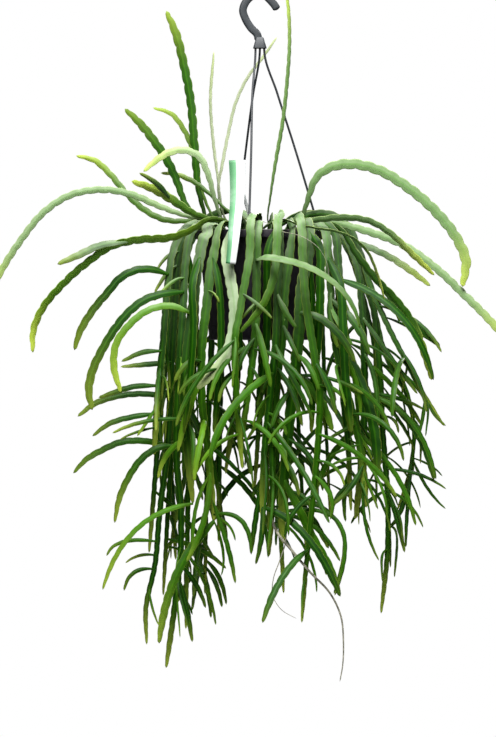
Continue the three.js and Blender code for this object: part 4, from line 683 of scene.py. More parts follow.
def grow_shoot(tries, width, parent, taken, is_outside=None, slim=0.5, **limits):
    """The best of the tries, kept as a side shoot of its parent and as taken room."""
    line = best_shoot(tries, width, parent, taken, is_outside, slim, **limits)
    if line is None:
        return
    facing = unit((between(-SHOOT_FACING_SPREAD, SHOOT_FACING_SPREAD), -1, 0.5))
    taken.add(parent["name"], line, np.full(len(line), slim * width), width)
    parent["side_shoots"].append({"line": line, "width": width, "normal": facing,
                                  "twist": between(-SHOOT_TWIST_SPREAD, SHOOT_TWIST_SPREAD)})


def grow_set_shoots(stems, taken):
    """Shoots from the list, leaned forward or back where their way is taken."""
    by_name = {stem["name"]: stem for stem in stems}
    for name, width, route in SET_SHOOTS:
        parent, route = by_name[name], np.array(route, float)
        start = parent["line"][np.sum((parent["line"] - route[0]) ** 2, axis=1).argmin()]
        share = np.arange(len(route)) / (len(route) - 1)
        tries = []
        for lean in LEANS:
            points = route + np.outer(lean * share, (0, 1, 0))
            points[0] = start
            tries.append(smooth_line(points, SAMPLE_STEP))
        grow_shoot(tries, width, parent, taken)


def curl_line(start, corner, end, depth):
    """Quadratic curve start (1 - t)^2 + corner 2 t (1 - t) + end t^2, with corner and end at one depth."""
    t = np.linspace(0, 1, CURL_PIECES + 1)[:, None]
    corner, end = (np.array((x, start[1] + depth, z)) for x, z in (corner, end))
    line = start * (1 - t) ** 2 + corner * 2 * t * (1 - t) + end * t**2
    return points_at(line, even_places(running_lengths(line)[-1], SAMPLE_STEP))


def grow_curls(curls, stems, taken, **limits):
    """Curling shoots from a list, each tried with less and more depth."""
    by_name = {stem["name"]: stem for stem in stems}
    for name, width, leaves, corner, end, depth in curls:
        parent = by_name[name]
        start = parent["line"][np.abs(parent["line"][:, 2] - leaves).argmin()]
        tries = [curl_line(start, corner, end, depth + lean) for lean in LEANS]
        grow_shoot(tries, width, parent, taken, **limits)


def line_of_steps(start, steps):
    """A smooth line through a start and the running sums of the steps from it."""
    return smooth_line(np.concatenate(([start], start + np.cumsum(steps, axis=0))), SAMPLE_STEP)


def drooping_line(start, heading, length, droops):
    """A shoot that leaves sideways and bends down evenly along its length."""
    x, y = unit((math.cos(heading), SHOOT_DEPTH_SHARE * math.sin(heading)))
    droop = droops[0] + (droops[1] - droops[0]) * (np.arange(DROOP_PIECES) + 0.5) / DROOP_PIECES
    steps = np.stack((x * np.cos(droop), y * np.cos(droop), -np.sin(droop)), axis=1)
    return line_of_steps(start, steps * length / DROOP_PIECES)


def grow_ruled_shoots(stems, taken):
    """Shoots along the lower part of each trailing stem, sides in turn."""
    for stem in stems:
        total = running_lengths(stem["line"])[-1]
        for k in range(stem["shoots"]):
            place = total * (RULED_FIRST + RULED_SPAN * (k + between(*RULED_PLACES)) / stem["shoots"])
            start = points_at(stem["line"], [place])[0]
            sideways = math.pi if start[0] < RULED_SIDE else 0
            heading = sideways + (k % 2) * math.pi + between(*RULED_TURN)
            length = between(*RULED_LENGTH)
            width = stem["width"] * between(*RULED_WIDTH)
            droops = [between(*ends) for ends in RULED_DROOP]
            tries = [drooping_line(start, heading + turn, length, droops) for turn in TURNS]
            grow_shoot(tries, width, stem, taken, outside_spread)


def grow_plant():
    """All stems, loosened, then their side shoots: the set ones, the curls and the ruled ones."""
    stems = grow_stems()
    fixed = fixed_lines()
    loosen(stems, fixed)
    taken = Taken()
    for stem in stems:
        taken.add(stem["name"], stem["line"], stem_reaches(stem), 2 * stem["width"])
    for line, reach in fixed:
        taken.add("fixed", line, np.full(len(line), reach), WIDEST_REACH)
    grow_set_shoots(stems, taken)
    grow_curls(CURLS, stems, taken)
    grow_ruled_shoots(stems, taken)
    return stems, taken


# Finer curls that only show here, listed as the curls above
FINE_CURLS = [
    ("trail_left_2", 5, -638, (-140, -638), (-155, -651), 8),
    ("trail_front_3", 4.5, -589, (10, -620), (9, -641), 0),
    ("trail_left_2", 3.5, -677, (-126, -700), (-116, -722), -6),
    ("trail_back_6", 5, -666, (-84, -664), (-96, -700), -8),
    ("trail_left_5", 3.5, -603, (-36, -637), (-44, -662), 6),
    ("trail_left_5", 4, -593, (-30, -603), (-28, -622), -4),
    ("trail_left_3", 5, -685, (-79, -696), (-77, -708), 10),
    ("trail_right_1", 4, -545, (129, -572), (134, -587), -4),
    ("trail_right_5", 3.5, -528, (202, -538), (212, -552), -8),
    ("trail_left_1", 5.5, -474, (-129, -488), (-140, -504), -8),
    ("trail_left_1", 4, -496, (-142, -498), (-160, -508), -6),
    ("outer_7", 3.5, -369, (168, -374), (206, -401), 8),
    ("outer_7", 5.5, -465, (196, -478), (214, -493), -4),
    ("outer_7", 5, -459, (188, -490), (181, -508), 4),
    ("trail_front_5", 4.5, -434, (85, -433), (117, -456), -10),
    ("trail_right_1", 5.5, -492, (96, -496), (75, -508), -10),
    ("trail_right_1", 4.5, -514, (96, -517), (78, -527), -10),
    ("trail_right_1", 4.5, -527, (100, -526), (78, -538), -10),
    ("trail_front_4", 4.5, -592, (128, -563), (84, -683), -26),
    ("trail_left_5", 7, -415, (-83, -413), (-97, -442), -12),
    ("trail_left_3", 8, -294, (-73, -340), (-77, -470), 8),
    ("trail_front_1", 8, -296, (-25, -330), (-22, -430), 12),
    ("outer_1", 8, -300, (-12, -330), (-11, -420), 14),
    ("trail_front_5", 8, -304, (61, -340), (60, -430), 8),
    ("trail_left_4", 7, -304, (-74, -340), (-80, -440), 4),
    ("trail_right_2", 8, -310, (96, -350), (100, -460), 4),
    ("outer_1", 5, -346, (-4, -352), (14, -371), -10),
    ("trail_front_2", 5, -352, (-8, -356), (-22, -372), -14),
    ("trail_left_5", 4.5, -337, (-50, -340), (-46, -353), -10),
    ("trail_left_3", 5, -322, (-98, -322), (-120, -350), -8),
    ("trail_left_2", 5, -296, (-106, -292), (-119, -315), -8),
    ("trail_left_2", 5.5, -309, (-104, -309), (-121, -340), -8),
    ("trail_right_2", 8, -322, (84, -338), (105, -370), -14),
    ("trail_right_1", 8, -356, (80, -362), (105, -401), -16),
    ("outer_3", 7, -420, (78, -440), (86, -480), -10),
    ("trail_front_5", 6.5, -410, (58, -420), (66, -452), -16),
    ("trail_front_2", 6, -392, (-22, -410), (-30, -442), -14),
    ("trail_front_4", 6, -424, (10, -436), (-4, -470), -16),
]

# Shoots that only show here: more of the same kind, and closer together
FILL_SEED = 90210
FILL_PER_STEM = {"arch_left": 0, "arch_right": 0, "upright": 0, "trail_left": 5, "trail_front": 8,
                 "trail_front_1": 0}
FILL_USUAL = 9
FILL_FIRST = 0.2
FILL_SPAN = 0.72
FILL_PLACES = (0.1, 0.9)
FILL_TURN = (0.2, 1.4)
FILL_LENGTH = (30, 110)
FILL_WIDTH = (0.28, 0.6)
FILL_DROOP = ((-0.2, 0.9), (1.1, 1.6))
FILL_CURL = (-1, 1)
CURLING_PIECES = 10
FILL_TOP = -390
FILL_LEFT = -116
FILL_RIGHT = 196
FILL_LIMITS = {"slim": 0.3, "gap": 0.4, "ease": 0.6, "shortest": 20}


def outside_fill(points):
    """Fill stays in the plant's middle, where the stems hang close together."""
    x, _, z = points.T
    return outside_spread(points) | (x < FILL_LEFT) | (x > FILL_RIGHT) | (z > FILL_TOP)


def curling_line(start, heading, length, droops, curl):
    """A shoot that bends down evenly along its length while its heading turns by the curl."""
    share = (np.arange(CURLING_PIECES) + 0.5) / CURLING_PIECES
    turn = heading + curl * share
    droop = droops[0] + (droops[1] - droops[0]) * share
    steps = np.stack((np.cos(turn) * np.cos(droop), SHOOT_DEPTH_SHARE * np.sin(turn) * np.cos(droop),
                      -np.sin(droop)), axis=1)
    return line_of_steps(start, unit(steps) * length / CURLING_PIECES)


def grow_fill_shoots(stems, taken):
    """Short and middling shoots all along the trailing stems, wherever there is room."""
    global chance_state
    chance_state = FILL_SEED
    for stem in stems:
        group = stem["name"].rsplit("_", 1)[0]
        count = FILL_PER_STEM.get(stem["name"], FILL_PER_STEM.get(group, FILL_USUAL))
        total = running_lengths(stem["line"])[-1]
        for k in range(count):
            place = total * (FILL_FIRST + FILL_SPAN * (k + between(*FILL_PLACES)) / count)
            start = points_at(stem["line"], [place])[0]
            outward = math.atan2(start[1], start[0])
            heading = outward + (1 if k % 2 else -1) * between(*FILL_TURN)
            length = between(*FILL_LENGTH)
            width = stem["width"] * between(*FILL_WIDTH)
            droops = [between(*ends) for ends in FILL_DROOP]
            curl = between(*FILL_CURL)
            tries = [curling_line(start, heading + turn, length, droops, curl) for turn in TURNS]
            grow_shoot(tries, width, stem, taken, outside_fill, **FILL_LIMITS)


# Finer forms of what the frame holds
BLADE_STEP = 2.6
BLADE_CORNERS = 16
CRENATION = 13.5
CRENATION_SPREAD = (0.9, 1.1)
CRENATION_DEPTH = 0.24
ARCH_CRENATION_DEPTH = 0.38
CRENATION_START = 25
LOBE_LEVEL = 0.35
NOTCH_EDGE = 0.8
RIB_WIDTH = 0.2
FLAT_SHARE = 0.5
RIB_SHARE = 0.35
END_ROUNDING = 3
END_WIDTH = 0.12
END_THICKNESS = 0.2
THIN_TIP = 12
THIN_TIP_SHARE = 0.35
ROOT_SWELL = 0.25
ROOT_SWELL_REACH = 60
FOOT_REACH = 110
FOOT_NARROWING = 0.45

# How far a tip's yellow reaches and how strong it is: more on shoots that end far left or high up
YELLOW_SIDE = -95
YELLOW_REACH_STEM = 80
YELLOW_REACH_SHOOT = 35
YELLOW_SHARE_FAR = 0.6
PALENESS_FAR = (0.35, 0.8)
PALENESS_NEAR = (0.1, 0.5)

# Shade of a blade, its green drawn at random from deep to fresh, with painted shade: darker greens on
# blades rooted behind than in front, and the deepest green on the shoots that start behind the outer layer
# and hang down past a height
SHADE_POWER = 1.4
PAINTED_SHADE_BEHIND = 0.45
SHADE_IN_FRONT = 0.8
SHADED_DEPTH = -95
SHADED_HEIGHT = -340
SHADED_DROP = 60
DEEP_PAINTED_SHADE = -0.5


def mesh_object(name, parts, material):
    """One object from closed tubes in mm, with the four values of each corner kept as an attribute."""
    verts, quads, tris, values = joined(parts)
    mesh = bpy.data.meshes.new(name)
    loops = np.concatenate((quads.ravel(), tris.ravel())).astype(np.int32)
    counts = np.concatenate((np.full(len(quads), 4), np.full(len(tris), 3)))
    starts = np.concatenate(([0], np.cumsum(counts)[:-1])).astype(np.int32)
    mesh.vertices.add(len(verts))
    mesh.vertices.foreach_set("co", (verts * MM).astype(np.float32).ravel())
    mesh.loops.add(len(loops))
    mesh.loops.foreach_set("vertex_index", loops)
    mesh.polygons.add(len(counts))
    mesh.polygons.foreach_set("loop_start", starts)
    mesh.polygons.foreach_set("use_smooth", np.ones(len(counts), bool))
    mesh.update(calc_edges=True)
    layer = mesh.color_attributes.new("grown", "FLOAT_COLOR", "POINT")
    layer.data.foreach_set("color", values.astype(np.float32).ravel())
    mesh.materials.append(material)
    made = bpy.data.objects.new(name, mesh)
    bpy.context.scene.collection.objects.link(made)
    return made


def mesh_piece(name, parts, material, slot, *nodes):
    """A piece of the plant or its holder, and the nodes that it stands for; the finish's slot is not used.
    """
    piece = mesh_object(name, parts, material)
    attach(piece, "root")
    if nodes:
        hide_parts(*nodes)
    return piece


def tube_faces(rings, corners, first=0):
    """Quads between neighbouring rings, and the two fans that close the ends on their pole vertices."""
    k, j = np.meshgrid(np.arange(rings - 1), np.arange(corners), indexing="ij")
    nxt = (j + 1) % corners
    ring, above = k * corners, (k + 1) * corners
    quads = np.stack((ring + j, ring + nxt, above + nxt, above + j), axis=-1)
    j = np.arange(corners)
    nxt = (j + 1) % corners
    last, pole = (rings - 1) * corners, rings * corners
    tris = np.concatenate((np.stack((np.full(corners, pole), nxt, j), axis=1),
                           np.stack((np.full(corners, pole + 1), last + j, last + nxt), axis=1)))
    return quads.reshape(-1, 4) + first, tris + first


def joined(parts):
    """Several tubes in one mesh. A part is rings of corners, and each corner's four values or None."""
    verts, quads, tris, all_values, first = [], [], [], [], 0
    for rings, values in parts:
        q, t = tube_faces(rings.shape[0], rings.shape[1], first)
        if values is None:
            values = np.zeros((*rings.shape[:2], 4))
        for stack, grid in ((verts, rings), (all_values, values)):
            ends = np.stack((grid[0].mean(axis=0), grid[-1].mean(axis=0)))
            stack.append(np.concatenate((grid.reshape(-1, grid.shape[-1]), ends)))
        quads.append(q)
        tris.append(t)
        first += len(verts[-1])
    return tuple(np.concatenate(rows) for rows in (verts, quads, tris, all_values))


# Bars and blocks
SMALLEST_END = 0.25
BLOCK_TAPER = 0.52
BLOCK_CORNERS = 40
BLOCK_SQUARENESS = 0.35

# Some trailing blades keep their width nearly to the tip
BROAD = {"trail_front_1": {"width": 12.6, "narrowing": 0.05}, "trail_front_5": {"narrowing": 0.12},
         "trail_left_1": {"narrowing": 0.15}, "trail_left_3": {"narrowing": 0.2},
         "trail_right_1": {"narrowing": 0.2}, "trail_right_3": {"narrowing": 0.15}}

# How yellow the tips of some stems are, and of all the others
TIPS = {"outer_2": 0.2, "trail_front_1": 0.7, "trail_front_2": 0.4, "upright_1": 0.6, "upright_2": 0.5,
        "upright_3": 0.4, "arch_left_5": 0.5, "arch_left_6": 0.9, "arch_right_2": 0.95}
USUAL_TIP = 0.72

# Shade of some stems from deep to fresh green, darker partly as painted shade where stems hang in shadow;
# above one, how far the pale grey-green colour covers them, thicker on faces that look up as painted
# highlight
SHADES = {"upright_1": 0.1, "upright_2": 1.2, "upright_3": 0.2, "upright_4": 1.95, "upright_5": 1.9,
          "upright_6": 1.35, "arch_left_1": 1.6, "arch_left_2": 1.5, "arch_left_3": 0.55,
          "arch_left_4": 0.6, "arch_left_5": 0.4, "arch_left_6": 0.85,
          "arch_right_1": 1.4, "arch_right_2": 1.45, "arch_right_3": 1.45, "arch_right_4": 1.4,
          "arch_right_5": 0.1, "arch_right_6": 0.35,
          "trail_front_1": 1.75, "trail_front_2": 0.4, "trail_front_3": 0.1, "trail_front_4": 0.25,
          "trail_front_5": 0.2, "outer_1": 0.5, "outer_2": 0.5, "outer_3": 0.4, "outer_7": 0.15,
          "trail_left_1": 0.1, "trail_left_2": 0.0, "trail_left_3": 0.1, "trail_left_4": 0.15,
          "trail_left_5": 0.35, "trail_right_1": 0.3, "trail_right_2": 0.1, "trail_right_3": 0.05,
          "trail_right_4": 0.15}


def blade_rings(blade, is_shoot, rng):
    """A flat stem as rings of corners along its line.

    The corner at angle a stands across by u = cos a of the half width, and out of the blade's plane by
    half its thickness times a flat lens (1 - u^2)^0.5 with a midrib exp(-(u / RIB_WIDTH)^2) on it. Each
    edge is a row of lobes, 1 + depth (LOBE_LEVEL - (1 - |sin(pi x)|^0.5)), one edge's lobes beside the
    other's notches.
    """
    line = blade["line"]
    coarse_normals = frames_along(line, blade["normal"], blade["twist"], blade.get("facing"))[1]
    total = running_lengths(line)[-1]
    fine = smooth_line(line, BLADE_STEP)
    lengths = running_lengths(fine)
    lengths *= total / lengths[-1]
    tangents = tangents_of(fine)
    normals = values_at(lengths, running_lengths(line), coarse_normals)
    normals = unit(normals - np.sum(normals * tangents, axis=1, keepdims=True) * tangents)
    across = np.cross(normals, tangents)
    to_tip = total - lengths
    rounding = ball_end(to_tip / END_ROUNDING)
    half = half_width(blade, lengths, total) * np.maximum(rounding, END_WIDTH)
    slender = blade.get("root_taper") == SLENDER_TAPER
    foot = np.clip(1 - (lengths - ROOT_DEPTH) / FOOT_REACH, 0, 1) * slender
    half *= 1 - FOOT_NARROWING * foot
    angle = 2 * np.pi * np.arange(BLADE_CORNERS) / BLADE_CORNERS
    u, side = np.cos(angle), np.sign(np.round(np.sin(angle), 6))
    pitch = CRENATION * rng.uniform(*CRENATION_SPREAD)
    lobe = np.abs(np.sin(np.pi * (lengths[:, None] / pitch + rng.uniform() + 0.5 * (u > 0)[None])))
    notch = 1 - np.sqrt(lobe)
    depth = CRENATION_DEPTH if is_shoot or blade["facing"] is not None else ARCH_CRENATION_DEPTH
    edge_start = smooth_step(lengths / CRENATION_START - 0.6)[:, None]
    margin = 1 + depth * edge_start * (LOBE_LEVEL - notch)
    lens = FLAT_SHARE * np.sqrt(np.clip(1 - u**2, 0, 1)) + RIB_SHARE * np.exp(-((u / RIB_WIDTH) ** 2))
    swell = 1 + ROOT_SWELL * np.exp(-((lengths - ROOT_DEPTH) / ROOT_SWELL_REACH) ** 2)
    tip_share = THIN_TIP_SHARE + (1 - THIN_TIP_SHARE) * np.clip(to_tip / THIN_TIP, 0, 1)
    thick = 0.5 * STEM_THICKNESS * swell * tip_share * np.maximum(rounding, END_THICKNESS)
    rings = (fine[:, None] + across[:, None] * (half[:, None] * u * margin)[..., None]
             + normals[:, None] * (thick[:, None] * (lens * side)[None])[..., None])
    ones = np.ones_like(margin)
    if is_shoot:
        far_out = line[-1, 0] < YELLOW_SIDE or line[-1, 2] > RIM_TOP
        paleness = rng.uniform(*(PALENESS_FAR if far_out else PALENESS_NEAR))
        yellow_reach = max(YELLOW_REACH_SHOOT, YELLOW_SHARE_FAR * total if far_out else 0)
    else:
        paleness = TIPS.get(blade["name"], USUAL_TIP)
        yellow_reach = YELLOW_REACH_STEM
    tipness = (np.clip(1 - to_tip / yellow_reach, 0, 1) * paleness - foot)[:, None] * ones
    # Painted shade: blades rooted behind draw darker greens, and shoots that start behind the outer layer
    # and hang past the shaded height take the deepest green
    shade = rng.uniform() ** SHADE_POWER * (PAINTED_SHADE_BEHIND if line[0, 1] > 0 else SHADE_IN_FRONT)
    hangs_past = line[0, 2] > SHADED_HEIGHT > line[-1, 2] + SHADED_DROP
    if is_shoot and line[0, 1] > SHADED_DEPTH and hangs_past:
        shade = DEEP_PAINTED_SHADE
    values = np.stack((tipness, np.abs(u)[None] * ones, SHADES.get(blade.get("name"), shade) * ones,
                       notch * (np.abs(u) > NOTCH_EDGE)), axis=-1)
    return rings, values


def squared_round(corners, power):
    """Corners of |x|^p + |y|^p = 1, where the power is 2 / p: from round at one to square at nought."""
    angle = 2 * np.pi * (np.arange(corners) + 0.5) / corners
    cos, sin = np.cos(angle), np.sin(angle)
    return np.sign(cos) * np.abs(cos) ** power, np.sign(sin) * np.abs(sin) ** power


def swept(line, first_normal, step, half_across, half_deep, corners, power=2.0, end_round=0.0):
    """Bar along a line; its section is |x / a|^p + |y / b|^p = 1, and its ends may be round as a ball."""
    fine = smooth_line(line, step)
    _, normals, across = frames_along(fine, first_normal, 0)
    lengths = running_lengths(fine)
    share = np.ones(len(fine))
    if end_round:
        for away in (lengths, lengths[-1] - lengths):
            share *= np.maximum(SMALLEST_END, ball_end(away / end_round))
    x, y = squared_round(corners, 2 / power)
    a = (np.broadcast_to(half_across, len(fine)) * share)[:, None, None]
    b = (np.broadcast_to(half_deep, len(fine)) * share)[:, None, None]
    sideways = across[:, None] * x[None, :, None] * a
    return fine[:, None] + sideways + normals[:, None] * y[None, :, None] * b


def block(middle, size, turn, taper=1.0, edge=0.6):
    """Upright block with rounded edges: a superellipse that widens over the edge radius at both ends."""
    height = size[2]
    opening, closing = np.linspace(0, np.pi / 2, 5), np.linspace(np.pi / 2, 0, 5)
    z = np.concatenate((edge * (1 - np.cos(opening)), height - edge * (1 - np.cos(closing))))
    inset = np.concatenate((edge * (1 - np.sin(opening)), edge * (1 - np.sin(closing))))
    x, y = squared_round(BLOCK_CORNERS, BLOCK_SQUARENESS)
    share = 1 + (taper - 1) * z / height
    a, b = size[0] / 2 * share - inset, size[1] / 2 * share - inset
    px, py = a[:, None] * x[None], b[:, None] * y[None]
    cos, sin = math.cos(turn), math.sin(turn)
    return np.stack((middle[0] + px * cos - py * sin, middle[1] + px * sin + py * cos,
                     (middle[2] - height / 2 + z)[:, None] * np.ones_like(px)), axis=-1)


def rounded_profile(points, radius):
    """Profile whose inner corners are small arcs: parabolas between two points beside each corner."""
    points = np.array(points, float)
    out = [points[:1]]
    t = np.linspace(0, 1, 5)[:, None]
    for before, corner, after in zip(points[:-2], points[1:-1], points[2:]):
        reach = min(radius, 0.45 * np.linalg.norm(before - corner), 0.45 * np.linalg.norm(after - corner))
        start, end = corner + reach * unit(before - corner), corner + reach * unit(after - corner)
        out.append(start * (1 - t) ** 2 + 2 * corner * t * (1 - t) + end * t**2)
    out.append(points[-1:])
    return np.concatenate(out)


def lathed(profile, sides):
    """Profile of radius and height turned once round the upright axis."""
    angle = 2 * np.pi * np.arange(sides) / sides
    radius, height = profile.T
    return np.stack((radius[:, None] * np.cos(angle), radius[:, None] * np.sin(angle),
                     height[:, None] * np.ones(sides)), axis=-1)


# Fine pot and soil
POT_SIDES = 144
POT_STEPS = (0.14, 0.72)
STEP_HEIGHT = 0.9
STEP_OUT = 0.35
STEP_IN = 0.1
EDGE_ARC = 0.9
DRAIN_BAR = (POT_BOTTOM - 3, POT_BOTTOM + 5)
DRAIN_SIDES = 32
SHARP_ANGLE = 40
SOIL_BASE = POT_BOTTOM + POT_WALL + 1.6
SOIL_RINGS = 46
SOIL_SIDES = 160
SOIL_LUMPS = 1.3
LUMP_SIZES = (1, 0.5, 0.25)
LUMP_WAVES = 6
LUMP_SPAN = 60
LUMP_LEVEL = 2.2
CRUMBS = 1100
CRUMB_CIRCLE = 66
CRUMB_CORNERS = 6
CRUMB_RINGS = (38, 90, 142)


def pot_part():
    """The pot's wall as one turned profile: raised base, wall with faint steps, skirted rim, inside."""
    half_base = BASE_RADIUS * 0.5
    raised, inner_floor = POT_BOTTOM + BASE_LIFT, POT_BOTTOM + POT_WALL + BASE_LIFT
    outside, wall_top, skirt_low = RIM_INSIDE + POT_WALL, RIM_TOP - POT_WALL, RIM_TOP - SKIRT_HEIGHT
    profile = [(half_base, raised), (BASE_RADIUS - 6, raised), (BASE_RADIUS - 5, POT_BOTTOM),
               (BASE_RADIUS, POT_BOTTOM)]
    for share in POT_STEPS:
        z = POT_BOTTOM + (wall_top - POT_BOTTOM) * share
        radius = BASE_RADIUS + (outside - BASE_RADIUS) * share
        profile += [(radius - STEP_IN, z), (radius + STEP_OUT, z + STEP_HEIGHT)]
    profile += [(outside, wall_top - 0.6), (RIM_RADIUS - POT_WALL, wall_top - 0.4),
                (RIM_RADIUS - POT_WALL, skirt_low), (RIM_RADIUS, skirt_low), (RIM_RADIUS, RIM_TOP),
                (RIM_INSIDE, RIM_TOP), (BASE_RADIUS - POT_WALL, inner_floor), (half_base, inner_floor)]
    return lathed(rounded_profile(profile, EDGE_ARC), POT_SIDES), None


def cut_drain_holes(pot):
    """Round holes through the pot's base, on a circle: upright bars are taken out of the pot's mesh."""
    bars = []
    for k in range(DRAIN_HOLES):
        turn = 2 * math.pi * (k + 0.5) / DRAIN_HOLES
        bar = lathed(np.array([(DRAIN_RADIUS, z) for z in DRAIN_BAR]), DRAIN_SIDES)
        bars.append((bar + (DRAIN_CIRCLE * math.cos(turn), DRAIN_CIRCLE * math.sin(turn), 0), None))
    cutter = mesh_object("drain_bars", bars, pot.data.materials[0])
    cut = pot.modifiers.new("drain_holes", "BOOLEAN")
    cut.operation = "DIFFERENCE"
    cut.solver = "EXACT"
    cut.object = cutter
    shaped = bpy.data.meshes.new_from_object(pot.evaluated_get(bpy.context.evaluated_depsgraph_get()))
    pot.modifiers.clear()
    pot.data = shaped
    shaped.set_sharp_from_angle(angle=math.radians(SHARP_ANGLE))
    bpy.data.objects.remove(cutter)


def lumps(x, y, rng):
    """Sum of sine waves in random directions: a smooth uneven surface, about one high at its highest."""
    total = np.zeros_like(x)
    for size in LUMP_SIZES:
        for _ in range(LUMP_WAVES):
            way, phase = rng.uniform(0, 2 * np.pi, 2)
            along = x * np.cos(way) + y * np.sin(way)
            total += size * np.sin(along * 2 * np.pi / (LUMP_SPAN * size) + phase)
    return total / (LUMP_WAVES * sum(LUMP_SIZES)) * LUMP_LEVEL


def soil_parts(rng):
    """Soil as rings: from under it, up the pot's wall and in over its top, a low crown with lumps."""
    slope = (RIM_INSIDE - BASE_RADIUS + POT_WALL) / (POT_HEIGHT - POT_WALL)
    edge_radius = RIM_INSIDE - (RIM_TOP - SOIL_TOP + SOIL_EDGE_DROP) * slope - CLEARANCE
    radii = np.concatenate(([BASE_RADIUS * 0.4, BASE_RADIUS - POT_WALL - 2 * CLEARANCE],
                            edge_radius - (edge_radius - 2) * np.linspace(0, 1, SOIL_RINGS)))
    angle = 2 * np.pi * np.arange(SOIL_SIDES) / SOIL_SIDES
    x, y = radii[:, None] * np.cos(angle), radii[:, None] * np.sin(angle)
    crown = SOIL_TOP - SOIL_EDGE_DROP * (radii[:, None] / edge_radius) ** 2
    z = crown + SOIL_LUMPS * lumps(x, y, rng)
    z[:2] = SOIL_BASE
    return [(np.stack((x, y, z), axis=-1), None)]


def crumb_parts(rng):
    """Crumbs lying on the soil: three-ringed lumps, sized, stretched, turned and bent at random."""
    radius = CRUMB_CIRCLE * np.sqrt(rng.uniform(0, 1, CRUMBS))
    way = rng.uniform(0, 2 * np.pi, CRUMBS)
    size = 0.5 + 1.9 * rng.uniform(0, 1, CRUMBS) ** 3
    grid = (CRUMBS, len(CRUMB_RINGS), CRUMB_CORNERS)
    polar = np.radians(CRUMB_RINGS)[None, :, None]
    angle = ((2 * np.pi * np.arange(CRUMB_CORNERS) / CRUMB_CORNERS)[None, None]
             + rng.uniform(0, 6, CRUMBS)[:, None, None])
    bulge = rng.uniform(0.7, 1.25, grid)
    local = np.stack((np.sin(polar) * np.cos(angle) * bulge, np.sin(polar) * np.sin(angle) * bulge,
                      np.cos(polar) * bulge), axis=-1)
    local *= rng.uniform(0.45, 1.3, (CRUMBS, 1, 1, 3)) * size[:, None, None, None]
    tilt = rng.uniform(0, np.pi, CRUMBS)[:, None, None]
    spin = unit(np.stack((np.cos(way * 7), np.sin(way * 7), np.zeros(CRUMBS)), axis=-1))[:, None, None]
    local = turned(local, np.broadcast_to(spin, local.shape), np.broadcast_to(tilt, grid))
    z = SOIL_TOP - SOIL_EDGE_DROP * (radius / 68) ** 2 + 0.7
    middle = np.stack((radius * np.cos(way), radius * np.sin(way), z), axis=-1)
    shade = np.broadcast_to(rng.uniform(0, 1, (CRUMBS, 1, 1, 1)), (*grid, 4))
    return list(zip(local + middle[:, None, None], shade))


# Line of the hook's bar, as (x, z)
HOOK_BAR = [(-1.5, BLOCK_TOP - 4), (-3, BLOCK_TOP + 3), (-10, -35.5), (-16.5, -25), (-19.5, -15),
            (-15.5, -4.6), (-9, 1.5), (-1, HOOK_BAR_WIDTH / 2), (6.5, 1.5), (13, -4.6), (17.5, -10),
            (20, -14.5)]


def hook_parts():
    """The hook's bar, a rounded section along its bend, and the wedge block that holds the strands."""
    line = np.array([(x, 0, z) for x, z in HOOK_BAR], float)
    bar = swept(line, (0, -1, 0), 1.0, HOOK_BAR_WIDTH / 2, HOOK_BAR_DEPTH / 2, 28, power=3, end_round=2.2)
    size = (BLOCK_BASE_WIDTH, BLOCK_BASE_DEPTH, BLOCK_TOP - BLOCK_BASE)
    wedge = block((0, 0, (BLOCK_TOP + BLOCK_BASE) / 2), size, 0, BLOCK_TAPER, 0.9)
    return [(bar, None), (wedge, None)]


def strand_parts(top, foot, bends):
    """A round strand along its line, its foot on the rim and the prong inside the wall."""
    round_bar = swept(strand_line(top, foot, bends), (0, -1, 0), 3, STRAND_RADIUS, STRAND_RADIUS, 14)
    turn = math.radians(foot)
    inside = RIM_INSIDE - PRONG_SETBACK - PRONG_THICKNESS
    foot_z = RIM_TOP + CLEARANCE + FOOT_HEIGHT / 2
    pieces = [(round_bar, None)]
    for length, width, height, z, edge in (
            (FOOT_LENGTH, FOOT_WIDTH, FOOT_HEIGHT, foot_z, 0.4),
            (PRONG_THICKNESS, FOOT_WIDTH - 1, PRONG_LENGTH, foot_z - PRONG_LENGTH / 2, 0.3)):
        radius = inside + length / 2
        middle = (radius * math.cos(turn), radius * math.sin(turn), z)
        pieces.append((block(middle, (length, width, height), turn, edge=edge), None))
    return pieces


def label_parts():
    """The label's panel, narrower towards its lower end, and its leg: thin rounded strips along lines.

    The first value of a corner says how far across the panel it stands; the leg is all on the white side.
    """
    parts = []
    across = 0.5 + 0.5 * squared_round(LABEL_CORNERS, 2 / LABEL_POWER)[0]
    for line, first, last, place_across in ((LABEL_PANEL, LABEL_WIDTH_TOP, LABEL_WIDTH_BOTTOM, across),
                                            (LABEL_LEG, LABEL_LEG_WIDTH, LABEL_LEG_WIDTH, 1)):
        fine = smooth_line(line, LABEL_STEP)
        place = running_lengths(fine) / running_lengths(fine)[-1]
        half = (first + (last - first) * place) / 2
        rings = swept(line, LABEL_FACING, LABEL_STEP, half, LABEL_THICKNESS / 2, LABEL_CORNERS,
                      LABEL_POWER)
        values = np.zeros((*rings.shape[:2], 4))
        values[..., 0] = place_across
        parts.append((rings, values))
    return parts


# Dry threads that hang from the stems: their thickness at the top and their lines
THREAD_STEP = 3
THREAD_THINNING = 0.66
THREADS = [
    (3.6, [(12, -72, -596), (22, -92, -616), (34, -96, -630), (55, -97, -655), (80, -97, -682),
           (91, -96, -706), (94, -95, -736), (93, -94, -763), (90, -94, -780)]),
    (1.6, [(29, -78, -600), (29, -88, -622), (22, -94, -644), (15, -95, -664), (14, -95, -682),
           (24, -94, -699), (41, -94, -709)]),
    (1.2, [(-13, -52, -248), (-5, -56, -254), (4, -60, -260), (12, -66, -263)]),
    (0.8, [(22, -100, -272), (50, -112, -280), (66, -116, -292), (76, -117, -312), (77, -117, -330)]),
]


